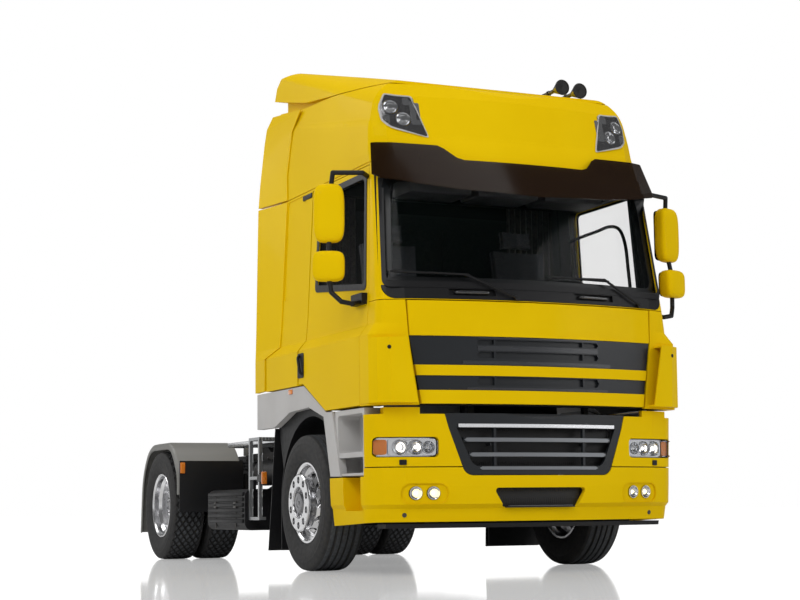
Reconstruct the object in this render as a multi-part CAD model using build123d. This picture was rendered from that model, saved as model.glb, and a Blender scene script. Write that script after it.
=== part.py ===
from build123d import *
import os

os.makedirs("parts", exist_ok=True)

# A forward-control road tractor for semi-trailers: high-roof sleeper cab over the front axle,
# two axles, twin rear wheels, fifth wheel. Millimetres, +Z up, the front faces -Y.
# Every piece is drawn with Y = 0 at the front axle and the ground at Z = 0, and is moved
# by AXLE_Y when written, which puts Y = 0 at the middle of the overall length.

# Driving dimensions
WHEELBASE = 3800
FRONT_END = -1495
REAR_END = WHEELBASE + 750
AXLE_Y = -(FRONT_END + REAR_END) / 2
HUB_Z = 503

# Wheels and tyres (22.5 inch rims, 315/70 tyres)
TYRE_R = 505
TYRE_HALF = 157
TYRE_SIDES = 40
BEAD_R = 285
FLANGE_R = 298
RIM_HALF = 127
FRONT_TRACK_X = 1079
TWIN_X = (1088, 738)
KINGPIN_X = 930

# Frame
RAIL_X = 430
RAIL_TOP = 966
RAIL_DEPTH = 266
RAIL_FLANGE = 75
RAIL_WEB = 8
RAIL_Y = (-1130, WHEELBASE + 680)

# Cab
CAB_REAR = 820
CAB_BASE = 1155
FLOOR_TOP = 1420
FLOOR_UNDER = 1340
REAR_SILL = 1380
SHOULDER_Z = 1640
BELT_Z = 1884
ROOF_SEAM = 2890
DOOR_TOP = ROOF_SEAM - 20
WINDOW_TOP = ROOF_SEAM - 84
SCREEN_TOP = ROOF_SEAM - 95
CHEEK_X = 985
LID_THICK = 45
GRILLE_DEPTH = 36
GAP = 7
ROOF_WALL = 60
TILT_Y, TILT_Z = -1340, 1060
NOSE_R = 88
DOOR_AXIS_X, DOOR_AXIS_Y = 1228, -1085
COLLAR_REAR = 1080

# Lower front panels
PANEL_THICK = 40
BUMPER_TOP = 730

# Fifth wheel
PLATE_TOP = 1110
COUPLING_Y = WHEELBASE - 550
CATWALK_REAR = COUPLING_Y - 495
KINGPIN_BORE_R = 25.9
ROCKER_Z = 1010

FAR = 1700

# Shape helpers


def block(x, y, z):
    """A box given by its (low, high) pair on each axis."""
    size = [pair[1] - pair[0] for pair in (x, y, z)]
    centre = [(pair[0] + pair[1]) / 2 for pair in (x, y, z)]
    return Pos(*centre) * Box(*size)


def rod(start, end, radius):
    """A round bar between two points."""
    run = Vector(*end) - Vector(*start)
    plane = Plane(origin=start, z_dir=run)
    return plane * Cylinder(radius, run.length, align=(Align.CENTER, Align.CENTER, Align.MIN))


def outline_face(plane, points, radius):
    """A flat face from an outline, with every corner rounded where a radius is given."""
    face = Polygon(*points, align=None)
    return plane * (fillet(face.vertices(), radius) if radius else face)


def side_prism(points, x, radius=0):
    """An outline of (y, z) points drawn out along X."""
    return extrude(outline_face(Plane.YZ.offset(x[0]), points, radius), amount=x[1] - x[0], dir=(1, 0, 0))


def plan_prism(points, z, radius=0):
    """An outline of (x, y) points drawn out along Z."""
    return extrude(outline_face(Plane.XY.offset(z[0]), points, radius), amount=z[1] - z[0], dir=(0, 0, 1))


def front_prism(points, y, radius=0):
    """An outline of (x, z) points drawn out along Y."""
    plane = Plane(origin=(0, y[0], 0), x_dir=(1, 0, 0), z_dir=(0, -1, 0))
    return extrude(outline_face(plane, points, radius), amount=y[1] - y[0], dir=(0, 1, 0))


def mirrored_outline(points):
    """A closed outline from its +X half."""
    return points + [(-x, z) for x, z in reversed(points)]


def both(shape):
    """The shape and its mirror image across the centre plane."""
    return Compound(children=[*shape.solids(), *mirror(shape, about=Plane.YZ).solids()])


def group(shapes):
    """Separate solids of one piece."""
    return Compound(children=[solid for shape in shapes for solid in shape.solids()])


def turned(profile):
    """A solid of revolution about X from (axial, radius) points."""
    return revolve(make_face(Polyline(*profile, close=True)), axis=Axis.X)


def on_side(shape, side):
    """A piece drawn for the +X side, or its mirror image for the -X side."""
    return shape if side > 0 else mirror(shape, about=Plane.YZ)


def plan_outline(z, centre_y, edge_y, corner_y, half, radius, rear_y, inset=0):
    """Level outline of a body: bowed front, angled cheeks, rounded corners, straight sides."""
    half = half - inset
    cheek = (CHEEK_X - 0.3 * inset, edge_y + inset)
    corner = (half, corner_y + inset)
    rear = (half, rear_y - inset)
    flip = lambda point: (-point[0], point[1])
    bow = ThreePointArc(flip(cheek), (0, centre_y + inset), cheek)
    corner_radius = max(radius - inset / 2, 12)
    sides = FilletPolyline(
        cheek, corner, rear, flip(rear), flip(corner), flip(cheek),
        radius=[corner_radius, 12, 12, corner_radius],
    )
    return Pos(0, 0, z) * make_face(bow + sides)


def body_loft(levels, rear_y, inset=0):
    """Straight-sided loft through plan outlines."""
    return loft([plan_outline(*level, rear_y, inset) for level in levels], ruled=True)


# Columns: height, y of the front on the centre line, y of the front at CHEEK_X, y of the
# corner, half width, corner radius
CAB_LEVELS = [
    (CAB_BASE, -1455, -1345, -1272, 1232, 60),
    (SHOULDER_Z, -1455, -1338, -1280, 1232, 60),
    (1720, -1454, -1334, -1262, 1172, 80),
    (BELT_Z, -1450, -1327, -1255, 1158, 90),
    (ROOF_SEAM, -1262, -1150, -1055, 1108, 90),
]
CABIN_LEVELS = [
    (FLOOR_TOP, -1310, -1240, -1180, 1085, 60),
    (BELT_Z, -1330, -1240, -1190, 1085, 60),
    (ROOF_SEAM + 10, -1180, -1080, -985, 1040, 90),
]
ROOF_LEVELS = [
    (ROOF_SEAM, -1235, -1125, -1035, 1107, 90),
    (ROOF_SEAM + 200, -1165, -1045, -960, 1107, 110),
    (ROOF_SEAM + 510, -1085, -955, -875, 1110, 150),
    (ROOF_SEAM + 1170, -773, -630, -583, 1110, 150),
]
FASCIA_LEVELS = [
    (320, -1362, -1240, -1165, 1196, 150),
    (452, -1385, -1262, -1190, 1208, 160),
    (480, -1425, -1300, -1212, 1222, 180),
    (600, -1432, -1308, -1220, 1226, 190),
    (1160, -1432, -1316, -1232, 1226, 140),
]

# Cab body


def door_outline(grow=0):
    """Side outline of a door, with its sill that follows the wheel arch."""
    return [
        (-1090 - grow, CAB_BASE + GAP - grow),
        (-1090 - grow, BELT_Z),
        (-1010 - grow, DOOR_TOP + grow),
        (85 + grow, DOOR_TOP + grow),
        (85 + grow, 1720),
        (110 + grow, SHOULDER_Z),
        (110 + grow, REAR_SILL + GAP - grow),
        (0, REAR_SILL + GAP - grow),
        (-450, CAB_BASE + GAP - grow),
    ]


WINDOW = [(-1021, 1996), (-79, 2099), (-79, WINDOW_TOP), (-966, WINDOW_TOP)]
SCREEN = [(1115, 2000), (1073, SCREEN_TOP)]
SCREEN_FRONT = [(-FAR, 1900), (-1150, 1900), (-1080, ROOF_SEAM), (-FAR, ROOF_SEAM)]
GLASS_INSET = (18, 26)
LID_EDGE = [(886, CAB_BASE + 10), (962, SHOULDER_Z), (971, BELT_Z - 8)]
PANEL_EDGE = [(895, 1100), (971, SHOULDER_Z), (CHEEK_X, BELT_Z + 6)]
COWL = [(1125, 1985), (1125, 1890)]
OUTER = body_loft(CAB_LEVELS, CAB_REAR)
BEHIND_SKIN = body_loft(CAB_LEVELS, CAB_REAR, LID_THICK)
FRONT_SKIN = OUTER - BEHIND_SKIN
GLASS_BACK = body_loft(CAB_LEVELS, CAB_REAR, GLASS_INSET[1])
GLASS_SKIN = body_loft(CAB_LEVELS, CAB_REAR, GLASS_INSET[0]) - GLASS_BACK


def cab_walls():
    """The hollow cab before its doors, lid and screens are parted off."""
    walls = OUTER - body_loft(CABIN_LEVELS, CAB_REAR - 60)
    underside = block((-1085, 1085), (-1290, CAB_REAR - 60), (1100, FLOOR_UNDER))
    sill = [(-450, 1100), (-450, CAB_BASE), (0, REAR_SILL), (900, REAR_SILL), (900, 1100)]
    return walls - underside - side_prism(sill, (-1300, 1300))


WALLS = cab_walls()


def side_reach(side, inner=1040):
    """The x range that takes in one side wall of the cab."""
    return (inner, 1300) if side > 0 else (-1300, -inner)


def door(side):
    x = side_reach(side)
    lead_in = plan_prism([(1040, 58), (1250, 86), (1250, 140), (1040, 140)], (1100, ROOF_SEAM + 10))
    leaf = (WALLS & side_prism(door_outline(), x)) - on_side(lead_in, side)
    return leaf - side_prism(WINDOW, x, radius=45)


def door_glass(side):
    return GLASS_SKIN & side_prism(WINDOW, side_reach(side, 1000), radius=45)


def front_cut(depth):
    """Everything ahead of the bulkhead that the lid and the corner panels fill."""
    corner = [(-1300, 1140), (-1300, BELT_Z), (1300, BELT_Z), (1300, 1140)]
    return front_prism(corner, (-1600, -1090)) & (OUTER - body_loft(CAB_LEVELS, CAB_REAR, depth))


def screen_opening(y_face):
    """The windscreen's outline, kept ahead of the door pillars."""
    return front_prism(mirrored_outline(SCREEN), y_face) & side_prism(SCREEN_FRONT, (-1200, 1200))


def cowl_outline(grow):
    """The wiper cowl's front outline with its two round lower corners."""
    half, top, low = COWL[0][0] + grow, COWL[0][1], COWL[1][1] - grow
    face = Polygon((-half, low), (half, low), (half, top), (-half, top), align=None)
    return fillet(face.vertices().sort_by(Axis.Y)[:2], 85)


def cowl_prism(grow):
    plane = Plane(origin=(0, -1600, 0), x_dir=(1, 0, 0), z_dir=(0, -1, 0))
    return extrude(plane * cowl_outline(grow), amount=400, dir=(0, 1, 0))


def cab_shell():
    shell = WALLS
    for side in (1, -1):
        shell -= side_prism(door_outline(GAP), side_reach(side))
    shell -= screen_opening((-1600, -1000))
    shell -= front_cut(LID_THICK + 10)
    shell -= cowl_prism(3) & FRONT_SKIN
    locker = [(230, 2080), (230, ROOF_SEAM - 15), (630, ROOF_SEAM - 15), (630, 2080)]
    locker_skin = OUTER - body_loft(CAB_LEVELS, CAB_REAR, 6)
    arm_outline = [
        (-1360, 1045), (-1225, 1045), (-1225, 1350), (-1270, 1350), (-1270, 1085), (-1340, 1080),
    ]
    arm = side_prism(arm_outline, (442, 478)) + rod((442, TILT_Y, TILT_Z), (478, TILT_Y, TILT_Z), 25)
    bore = rod((400, TILT_Y, TILT_Z), (520, TILT_Y, TILT_Z), 14.05)
    for side in (1, -1):
        shell -= locker_skin & side_prism(locker, side_reach(side), radius=40)
        shell += on_side(arm, side)
    for side in (1, -1):
        shell -= on_side(bore, side)
    return shell


# Air vane ahead of the corner panel. Columns: height, then the x, y of its leading edge,
# two bends, the side corner and its rear end
VANE_LEVELS = [
    (1168, (942, -1430), (1120, -1388), (1200, -1338), (1236, -1262), (1238, -1110)),
    (1612, (1016, -1432), (1133, -1385), (1205, -1335), (1236, -1260), (1238, -1110)),
]
VANE_THICK = 12


def vane_outline(level):
    z, *path = level
    inner = [(x - 14 + 2 * step, y + VANE_THICK) for step, (x, y) in enumerate(path)]
    inner[0] = (path[0][0], path[0][1] + VANE_THICK)
    inner[-1] = (path[-1][0] - 16, path[-1][1])
    return Pos(0, 0, z) * Polygon(*path, *reversed(inner), align=None)


def corner_panels():
    panel = front_cut(LID_THICK) - front_prism(mirrored_outline(PANEL_EDGE), (-FAR, -1000))
    panel &= block((0, 1300), (-1400, -1097), (CAB_BASE, BELT_Z - 5))
    panel += loft([vane_outline(level) for level in VANE_LEVELS], ruled=True)
    for z, (tip_x, tip_y), *path in VANE_LEVELS:
        low = z if z < 1400 else z - VANE_THICK
        ledge = [(tip_x, tip_y + 2), *path, (1215, -1110), (1180, -1230), (tip_x, -1330)]
        panel += plan_prism([(x - 3, y) for x, y in ledge], (low, low + VANE_THICK))
    return both(panel)


# Upper grille bands. Columns: low and high edge
GRILLE_BANDS = [(1257, 1358), (1430, 1632)]
# Columns: low and high edge of each air slot
GRILLE_SLOTS = [(1293, 1350), (1482, 1526), (1575, 1610)]
RIB_X = 353


def band_prism(low, high):
    return front_prism([(-FAR, low), (FAR, low), (FAR, high), (-FAR, high)], (-FAR, -1150))


def front_lid():
    lid = FRONT_SKIN & front_prism(mirrored_outline(LID_EDGE), (-FAR, -1150))
    pocket = OUTER - body_loft(CAB_LEVELS, CAB_REAR, GRILLE_DEPTH)
    for low, high in GRILLE_BANDS:
        lid -= pocket & band_prism(low, high)
    return lid


def upper_grille():
    skin = body_loft(CAB_LEVELS, CAB_REAR, 8) - body_loft(CAB_LEVELS, CAB_REAR, GRILLE_DEPTH)
    skin &= front_prism(mirrored_outline(LID_EDGE), (-FAR, -1150))
    slot_skin = OUTER - body_loft(CAB_LEVELS, CAB_REAR, GRILLE_DEPTH - 6)
    bands = [skin & band_prism(low + 1, high - 1) for low, high in GRILLE_BANDS]
    for low, high in GRILLE_SLOTS:
        tip = (486, (low + high) / 2)
        slot = front_prism(mirrored_outline([(470, low), tip, (470, high)]), (-FAR, -1150))
        for x in (-RIB_X, RIB_X):
            slot -= block((x - 6, x + 6), (-FAR, -1150), (low, high))
        bands = [band - (slot_skin & slot) for band in bands]
    return group(bands)


def windscreen():
    return GLASS_SKIN & screen_opening((-1600, -1000))


def cab_front_y(x, z):
    """Y of the cab's front skin at a point of its bowed part."""
    low, high = CAB_LEVELS[3], CAB_LEVELS[4]
    share = (z - low[0]) / (high[0] - low[0])
    centre = low[1] + share * (high[1] - low[1])
    edge = low[2] + share * (high[2] - low[2])
    return centre + (edge - centre) * (x / CHEEK_X) ** 2


# Columns: pivot (x, z), bend (x, z), blade ends (x, z)
WIPERS = [
    ((-188, 1907), (-560, 2062), (-1080, 2076), (-530, 2062)),
    ((870, 1907), (556, 2077), (60, 2072), (600, 2066)),
]


def wiper_cowl():
    cowl = FRONT_SKIN & cowl_prism(0)
    off = lambda x, z, gap: (x, cab_front_y(x, z) - gap, z)
    for pivot, bend, blade_in, blade_out in WIPERS:
        cowl += rod(off(*pivot, -30), off(*pivot, 34), 18)
        cowl += rod(off(*pivot, 30), off(*bend, 34), 9)
        cowl += rod(off(*bend, 34), off((blade_in[0] + bend[0]) / 2, 2070, 30), 7)
        cowl += rod(off(*blade_in, 26), off(*blade_out, 26), 8)
    for x in (-505, 465):
        slot = block((x - 170, x + 170), (-1600, -1200), (1915, 1962))
        cowl -= slot & (OUTER - body_loft(CAB_LEVELS, CAB_REAR, 22))
    return cowl


# High roof. Its heights are given above the roof seam, and UP lifts each piece to its place.
UP = Pos(0, 0, ROOF_SEAM)


def roof_section(y, low, mid, top, radii, inset):
    """Upright outline of the roof across the cab, with its rounded top corners."""
    points = [(x - inset, z) for x, z in (low, mid)] + [(top[0] - inset, top[1] - inset)]
    flipped = [(-x, z) for x, z in reversed(points)]
    sides = FilletPolyline(*points, *flipped, radius=[*radii, *reversed(radii)])
    base = Line(flipped[-1], points[0])
    return Plane(origin=(0, y, 0), x_dir=(1, 0, 0), z_dir=(0, -1, 0)) * make_face(sides + base)


def roof_body(rear_y, inset=0):
    """The roof as its plan loft and its lengthwise section loft have it in common."""
    front = roof_section(-1300, (1114, -10), (1080, 230), (960, 548), (300, 330), inset)
    rear = roof_section(1000, (1114, -10), (1112, 670), (1078, 1152), (300, 70), inset)
    return body_loft(ROOF_LEVELS, rear_y, inset) & (UP * loft([front, rear], ruled=True))


CAP_SIDE = [
    (-1400, 0), (-1400, 535), (-1080, 535), (-1035, 590), (-985, 610), (-930, 612),
    (-520, 636), (-200, 664), (300, 685), (CAB_REAR, 750), (CAB_REAR, 0),
]
CAP_CAVITY = [(-1400, -50), (-1400, 490), (-950, 540), (-200, 610), (CAB_REAR, 670), (CAB_REAR, -50)]


def roof_cap():
    cap = roof_body(CAB_REAR) & (UP * side_prism(CAP_SIDE, (-1300, 1300)))
    cap -= roof_body(CAB_REAR, ROOF_WALL) & (UP * side_prism(CAP_CAVITY, (-1300, 1300)))
    seam = UP * block((-1300, 1300), (-1500, 900), (-1, GAP))
    return cap - (seam - body_loft(ROOF_LEVELS, CAB_REAR, 12))


DEFLECTOR_SIDE = [
    (-930, 619), (-520, 643), (-200, 671), (300, 730), (455, 765), (976, 887), (950, 990),
    (870, 1055), (650, 1065), (-880, 655), (-925, 640),
]
DEFLECTOR_HOLLOW = [
    (-640, 655), (-200, 688), (300, 747), (455, 782), (1100, 935), (1100, 992), (936, 992),
    (862, 1039), (652, 1049), (-640, 703),
]
NECK_SIDE = [(-200, 664), (300, 685), (CAB_REAR, 750), (CAB_REAR, 855), (455, 770), (300, 735), (-200, 676)]


def deflector_body():
    return roof_body(1000) & (UP * side_prism(DEFLECTOR_SIDE, (-1300, 1300)))


def roof_deflector():
    hood = deflector_body()
    hood -= roof_body(1200, 15) & (UP * side_prism(DEFLECTOR_HOLLOW, (-1300, 1300)))
    return hood + UP * side_prism(NECK_SIDE, (-1040, 1040))


# Side collars. Columns: height, x where the collar leaves the cab, x of its rear edge, y of
# its front edge; the upper ones count their height from the roof seam
COLLAR_LEVELS = [
    (1385, 1232, 1229, 827),
    (SHOULDER_Z, 1232, 1229, 827),
    (1720, 1172, 1226, 640),
    (BELT_Z, 1158, 1222, 640),
    (ROOF_SEAM - 8, 1108, 1204, 640),
]
ROOF_COLLAR_LEVELS = [
    (8, 1108, 1202, 640),
    (200, 1108, 1188, 645),
    (540, 1109, 1150, 527),
    (670, 1109, 1130, 350),
    (820, 1100, 1060, 200),
]
ROOF_COLLAR_SIDE = [(100, 0), (100, 645), (260, 670), (900, 755), (COLLAR_REAR, 783), (COLLAR_REAR, 0)]


def collar_outline(z, x_in, x_rear, y_front):
    outline = [
        (x_in + 1, y_front), (x_in + 9, y_front), (x_rear, COLLAR_REAR),
        (x_rear - 38, COLLAR_REAR), (min(x_in + 1, x_rear - 10), CAB_REAR + 12),
    ]
    return Pos(0, 0, z) * Polygon(*outline, align=None)


def side_collars():
    lower = loft([collar_outline(*level) for level in COLLAR_LEVELS], ruled=True) - OUTER
    upper = UP * loft([collar_outline(*level) for level in ROOF_COLLAR_LEVELS], ruled=True)
    upper &= UP * side_prism(ROOF_COLLAR_SIDE, (900, 1300))
    upper -= roof_body(CAB_REAR, -1)
    for z, reach in ((1480, 1215), (2000, 1175), (2700, 1150)):
        lower += block((1080, reach), (CAB_REAR, 900), (z, z + 40))
    upper += block((1030, 1130), (CAB_REAR, 900), (ROOF_SEAM + 160, ROOF_SEAM + 200))
    return both(lower + upper)


# Same columns as CAB_LEVELS
VISOR_LEVELS = [
    (ROOF_SEAM - 260, FRONT_END, -1350, -1225, 1190, 90),
    (ROOF_SEAM + 140, -1190, -1120, -1060, 1130, 90),
]
VISOR_FRONT = [
    (0, -260), (600, -230), (900, -190), (1110, -145), (1182, -95), (1150, 60), (1115, 134),
    (650, 127), (610, 105), (530, 30), (480, 15), (0, 15),
]
VISOR_SIDE = [(-FAR, -390), (-1275, -390), (-1045, 146), (-FAR, 146)]
VISOR_STAY_X = 800


def sun_visor():
    inside = body_loft(VISOR_LEVELS, 0, 8)
    skin = body_loft(VISOR_LEVELS, 0) - inside
    edge = UP * (front_prism(mirrored_outline(VISOR_FRONT), (FRONT_END - 10, -900))
                 & side_prism(VISOR_SIDE, (-1300, 1300)))
    visor = skin & edge
    carrier = OUTER + roof_body(CAB_REAR)
    for x in (-VISOR_STAY_X, VISOR_STAY_X):
        stay = UP * block((x - 14, x + 14), (-1500, -1000), (-30, 100))
        visor += (stay & body_loft(VISOR_LEVELS, 0, 4)) - carrier
    return visor


ROOF_LAMP = [
    (685, 188), (778, 510), (894, 517), (975, 528), (1020, 420), (1012, 310), (960, 260), (912, 244),
]


def roof_lamps():
    shell = roof_body(CAB_REAR, -4) - roof_body(CAB_REAR)
    return both(shell & (UP * front_prism(ROOF_LAMP, (-1400, -700), radius=20)))


# Columns: x, y of the bell, height above the roof seam, tube length
HORNS = [(708, -600, 810, 330), (866, -600, 796, 330)]


def air_horns():
    horns = []
    carrier = deflector_body()
    for x, y, z, length in HORNS:
        mouth = Plane(origin=(x, y, z), z_dir=(0, 1, 0))
        bell = mouth * Cone(60, 16, 130, align=(Align.CENTER, Align.CENTER, Align.MIN))
        tube = rod((x, y + 130, z), (x, y + length, z), 16)
        foot = block((x - 12, x + 12), (y + 250, y + 280), (700, z - 10))
        horns.append(UP * (bell + tube + foot) - carrier)
    return group(horns)


# Mirrors. Columns: centre, width, depth, height of each glass housing
MIRROR_HOUSINGS = [((1398, -956, 2514), 220, 110, 418), ((1415, -985, 2134), 230, 120, 213)]
MIRROR_YAW = 22
MIRROR_ARM_R = 17
UPPER_ARM = [(1105, -985, 2790), (1190, -1075, 2797), (1378, -985, 2801), (1385, -965, 2700)]
LINK = [(1400, -965, 2320), (1412, -980, 2220)]
LOWER_ARM = [
    (1412, -985, 2050), (1400, -1000, 1950), (1350, -1060, 1880), (1270, -1080, 1865),
    (1180, -1010, 1890),
]


def mirror_housing(centre, width, depth, height):
    return Pos(*centre) * Rot(0, 0, MIRROR_YAW) * fillet(Box(width, depth, height).edges(), 42)


def mirrors(side):
    return on_side(group([mirror_housing(*housing) for housing in MIRROR_HOUSINGS]), side)


def mirror_arms(side):
    arms = block((1140, 1200), (-1066, -870), (1872, 1950))
    for route in (UPPER_ARM, LINK, LOWER_ARM):
        for start, end in zip(route, route[1:]):
            arms += rod(start, end, MIRROR_ARM_R) + Pos(*end) * Sphere(MIRROR_ARM_R)
    for housing in MIRROR_HOUSINGS:
        arms -= mirror_housing(*housing)
    return on_side(arms - OUTER, side)


# Cabin fittings


def dashboard():
    profile = [(-1212, 1560), (-1212, 1930), (-1080, 1975), (-960, 1930), (-930, 1700), (-1020, 1560)]
    return side_prism(profile, (-1000, 1000))


def steering_wheel():
    centre = Vector(480, -830, 2010)
    tilt = Plane(origin=centre, x_dir=(1, 0, 0), z_dir=(0, 0.55, 1))
    ring = tilt * Torus(225, 16)
    spokes = tilt * (Box(430, 40, 14) + Cylinder(70, 40))
    column = rod((480, -912, 1861), centre, 35)
    return ring + spokes + column


def seats():
    made = []
    for x in (-560, 560):
        base = block((x - 190, x + 190), (-540, -120), (FLOOR_TOP, 1800))
        squab = fillet(block((x - 250, x + 250), (-570, -90), (1800, 1930)).edges(), 30)
        back = side_prism([(-200, 1900), (-60, 1900), (20, 2480), (-90, 2480)], (x - 240, x + 240))
        head = block((x - 140, x + 140), (-70, 20), (2470, 2640))
        made.append(base + squab + back + head)
    return group(made)


def bunk():
    base = block((-1030, 1030), (200, 750), (FLOOR_TOP + 2, 1780))
    mattress = fillet(block((-1020, 1020), (190, 745), (1780, 1900)).edges().filter_by(Axis.X), 40)
    return base + mattress


# Lower front


def fascia_shell(inset=0):
    shell = body_loft(FASCIA_LEVELS, 0, inset) - body_loft(FASCIA_LEVELS, 0, inset + PANEL_THICK)
    nose = rod((-1300, TILT_Y, TILT_Z), (1300, TILT_Y, TILT_Z), NOSE_R)
    rear_top = block((-1300, 1300), (TILT_Y, 100), (TILT_Z, 1145))
    return shell & (nose + rear_top + block((-1300, 1300), (-1600, 100), (300, TILT_Z)))


FASCIA = fascia_shell()
GRILLE_EDGE = [(572, 674), (690, 1000), (718, 1100), (718, 1160)]
HEADLAMP = [(757, 800), (757, 938), (1192, 938), (1192, 800)]
FOG_X = (794, 915)
FOG_Z = 556
FOG_R = 47
FOG_RECESS = [(695, 484), (695, 619), (1014, 619), (1014, 484)]
SLOT = [(290, 458), (370, 590)]
BUMPER_SIDE = [
    (-FAR, 361), (-1180, 361), (-535, 335), (-520, 672), (-1133, 672), (-1133, BUMPER_TOP),
    (-FAR, BUMPER_TOP),
]
STEP_Y = (-1084, -769)


def grille_prism(inset):
    """The lower grille's front outline, drawn in by the inset, with round lower corners."""
    (low_x, low_z), *edge = GRILLE_EDGE
    half = [(low_x - inset, low_z + inset)] + [(x - inset, z) for x, z in edge]
    face = Polygon(*mirrored_outline(half), align=None)
    face = fillet(face.vertices().sort_by(Axis.Y)[:2], 80)
    plane = Plane(origin=(0, -FAR, 0), x_dir=(1, 0, 0), z_dir=(0, -1, 0))
    return extrude(plane * face, amount=450, dir=(0, 1, 0))


def front_bumper():
    bumper = FASCIA & side_prism(BUMPER_SIDE, (-1300, 1300))
    bumper -= front_prism(mirrored_outline(SLOT), (-FAR, -1300), radius=22)
    bumper -= grille_prism(0)
    recess_skin = body_loft(FASCIA_LEVELS, 0) - body_loft(FASCIA_LEVELS, 0, 10)
    recess = recess_skin & front_prism(FOG_RECESS, (-FAR, -1150), radius=60)
    pocket = block((1090, 1300), (STEP_Y[0] - 12, STEP_Y[1] + 12), (428, 672))
    pocket &= body_loft(FASCIA_LEVELS, 0)
    step = block((1102, 1300), STEP_Y, (440, 680))
    bracket = block((390, RAIL_X), (-1420, -1140), (610, 660)) & body_loft(FASCIA_LEVELS, 0, 5)
    for side in (1, -1):
        bumper += on_side(bracket, side)
        bumper -= on_side(recess, side)
        bumper += on_side(pocket, side)
        bumper -= on_side(step, side)
        for x in FOG_X:
            bumper -= on_side(rod((x, -1500, FOG_Z), (x, -1200, FOG_Z), FOG_R), side)
    return bumper


def headlamp_panels():
    reach = block((0, 1300), (-FAR, -1140), (BUMPER_TOP + GAP, 1095))
    reach += block((889, 1129), (-FAR, -1140), (1090, 1140))
    panel = (FASCIA & reach) - grille_prism(0) - front_prism(HEADLAMP, (-FAR, -1130), radius=30)
    bracket = block((RAIL_X, 1200), (-1165, -1140), (738, 758)) & body_loft(FASCIA_LEVELS, 0, 5)
    bracket += block((RAIL_X, RAIL_X + 20), (-1165, -1110), (738, 758))
    return both(panel + bracket)


# Columns: height, half length, bar height
GRILLE_BARS = [(1016, 623, 24), (919, 582, 31), (817, 545, 31), (724, 484, 31)]


STRUT_X = 372
STRUT = [(-1240, 462), (-1160, 462), (-1130, 560), (-1130, 900), (-1180, 900)]


def lower_grille():
    inner = body_loft(FASCIA_LEVELS, 0, 4) - body_loft(FASCIA_LEVELS, 0, 34)
    nose = rod((-1300, TILT_Y, TILT_Z), (1300, TILT_Y, TILT_Z), NOSE_R)
    limit = nose + block((-800, 800), (-1600, -1000), (600, TILT_Z))
    inner &= limit & block((-800, 800), (-1600, -1000), (600, 1100))
    opening = grille_prism(60) & block((-800, 800), (-FAR, -1000), (735, 1002))
    frame = (inner & grille_prism(4)) - opening
    for z, half, high in GRILLE_BARS:
        frame += inner & block((-half, half), (-FAR, -1300), (z - high / 2, z + high / 2))
    for x in (-RIB_X, RIB_X):
        frame += inner & block((x - 9, x + 9), (-FAR, -1300), (720, 1010))
    for x in (-STRUT_X, STRUT_X):
        bracket = block((x - 12, x + 12), (-1395, -1150), (880, 896))
        frame += bracket - side_prism(STRUT, (x - 18, x + 18))
    return frame


def front_lamps():
    inner = body_loft(FASCIA_LEVELS, 0, PANEL_THICK + 20)
    skin = body_loft(FASCIA_LEVELS, 0, 4) - inner
    backing = body_loft(FASCIA_LEVELS, 0, PANEL_THICK) - inner
    lens_edge = [(763, 806), (763, 932), (1186, 932), (1186, 806)]
    lamp = skin & front_prism(lens_edge, (-FAR, -1136), radius=26)
    lamp += backing & block((745, 1200), (-FAR, -1150), (790, 948))
    fogs = []
    for x in FOG_X:
        fog = skin & rod((x, -1500, FOG_Z), (x, -1200, FOG_Z), FOG_R - 4)
        fogs.append(fog + (backing & rod((x, -1500, FOG_Z), (x, -1200, FOG_Z), FOG_R + 9)))
    return group([both(piece) for piece in (lamp, *fogs)])


def underrun_bar():
    lip_levels = [(318, -1360, -1238, -1166, 1185, 140), (348, -1366, -1244, -1170, 1190, 140)]
    lip = body_loft(lip_levels, -1000) & block((-1092, 1092), (-1600, -1060), (318, 348))
    bar = block((-820, 820), (-1240, -1160), (348, 462))
    for x in (-STRUT_X, STRUT_X):
        bar += side_prism(STRUT, (x - 18, x + 18))
    return lip + bar


ARCH_X = (1170, 1226)
ARCH_SIDE = [
    (COLLAR_REAR - 40, 1370), (0, 1370), (-456, 1148), (-567, 1148), (-720, 681), (-530, 685),
    (-400, 1120), (-100, 1205), (300, 1190), (640, 1090), (COLLAR_REAR - 40, 1090),
]


def step_wells():
    well = [(-1133, 683), (-1133, 1145), (-600, 1145), (-640, 683)]
    shell = side_prism(well, (1035, 1215)) & body_loft(FASCIA_LEVELS, 0)
    shell -= side_prism([(-1110, 845), (-1110, 1110), (-650, 1110), (-665, 845)], (1047, 1300), radius=30)
    shell -= side_prism([(-1110, 700), (-1110, 810), (-665, 810), (-665, 700)], (1047, 1300), radius=20)
    shell -= side_prism(ARCH_SIDE, (ARCH_X[0], 1300))
    return both(shell + block((RAIL_X, 1040), (-760, -720), (900, 940)))


def wheel_arch_panels():
    return both(side_prism(ARCH_SIDE, ARCH_X))


def front_mudguards():
    ring = rod((700, 0, HUB_Z), (1165, 0, HUB_Z), 652) - rod((690, 0, HUB_Z), (1175, 0, HUB_Z), 642)
    ring &= side_prism([(-700, 640), (-700, 1200), (700, 1200), (700, 480), (0, 480), (0, 640)], (600, 1300))
    liner_side = [
        (-560, 745), (-430, 1130), (-100, 1215), (300, 1215), (640, 1110), (700, 1090), (590, 745),
    ]
    liner = side_prism(liner_side, (1150, 1165)) - rod((1140, 0, HUB_Z), (1175, 0, HUB_Z), 645)
    flap = block((640, 1165), (642, 652), (140, 500))
    hanger = block((438, 700), (600, 652), (700, 740))
    return both(ring + liner + flap + hanger)


# Chassis


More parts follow.
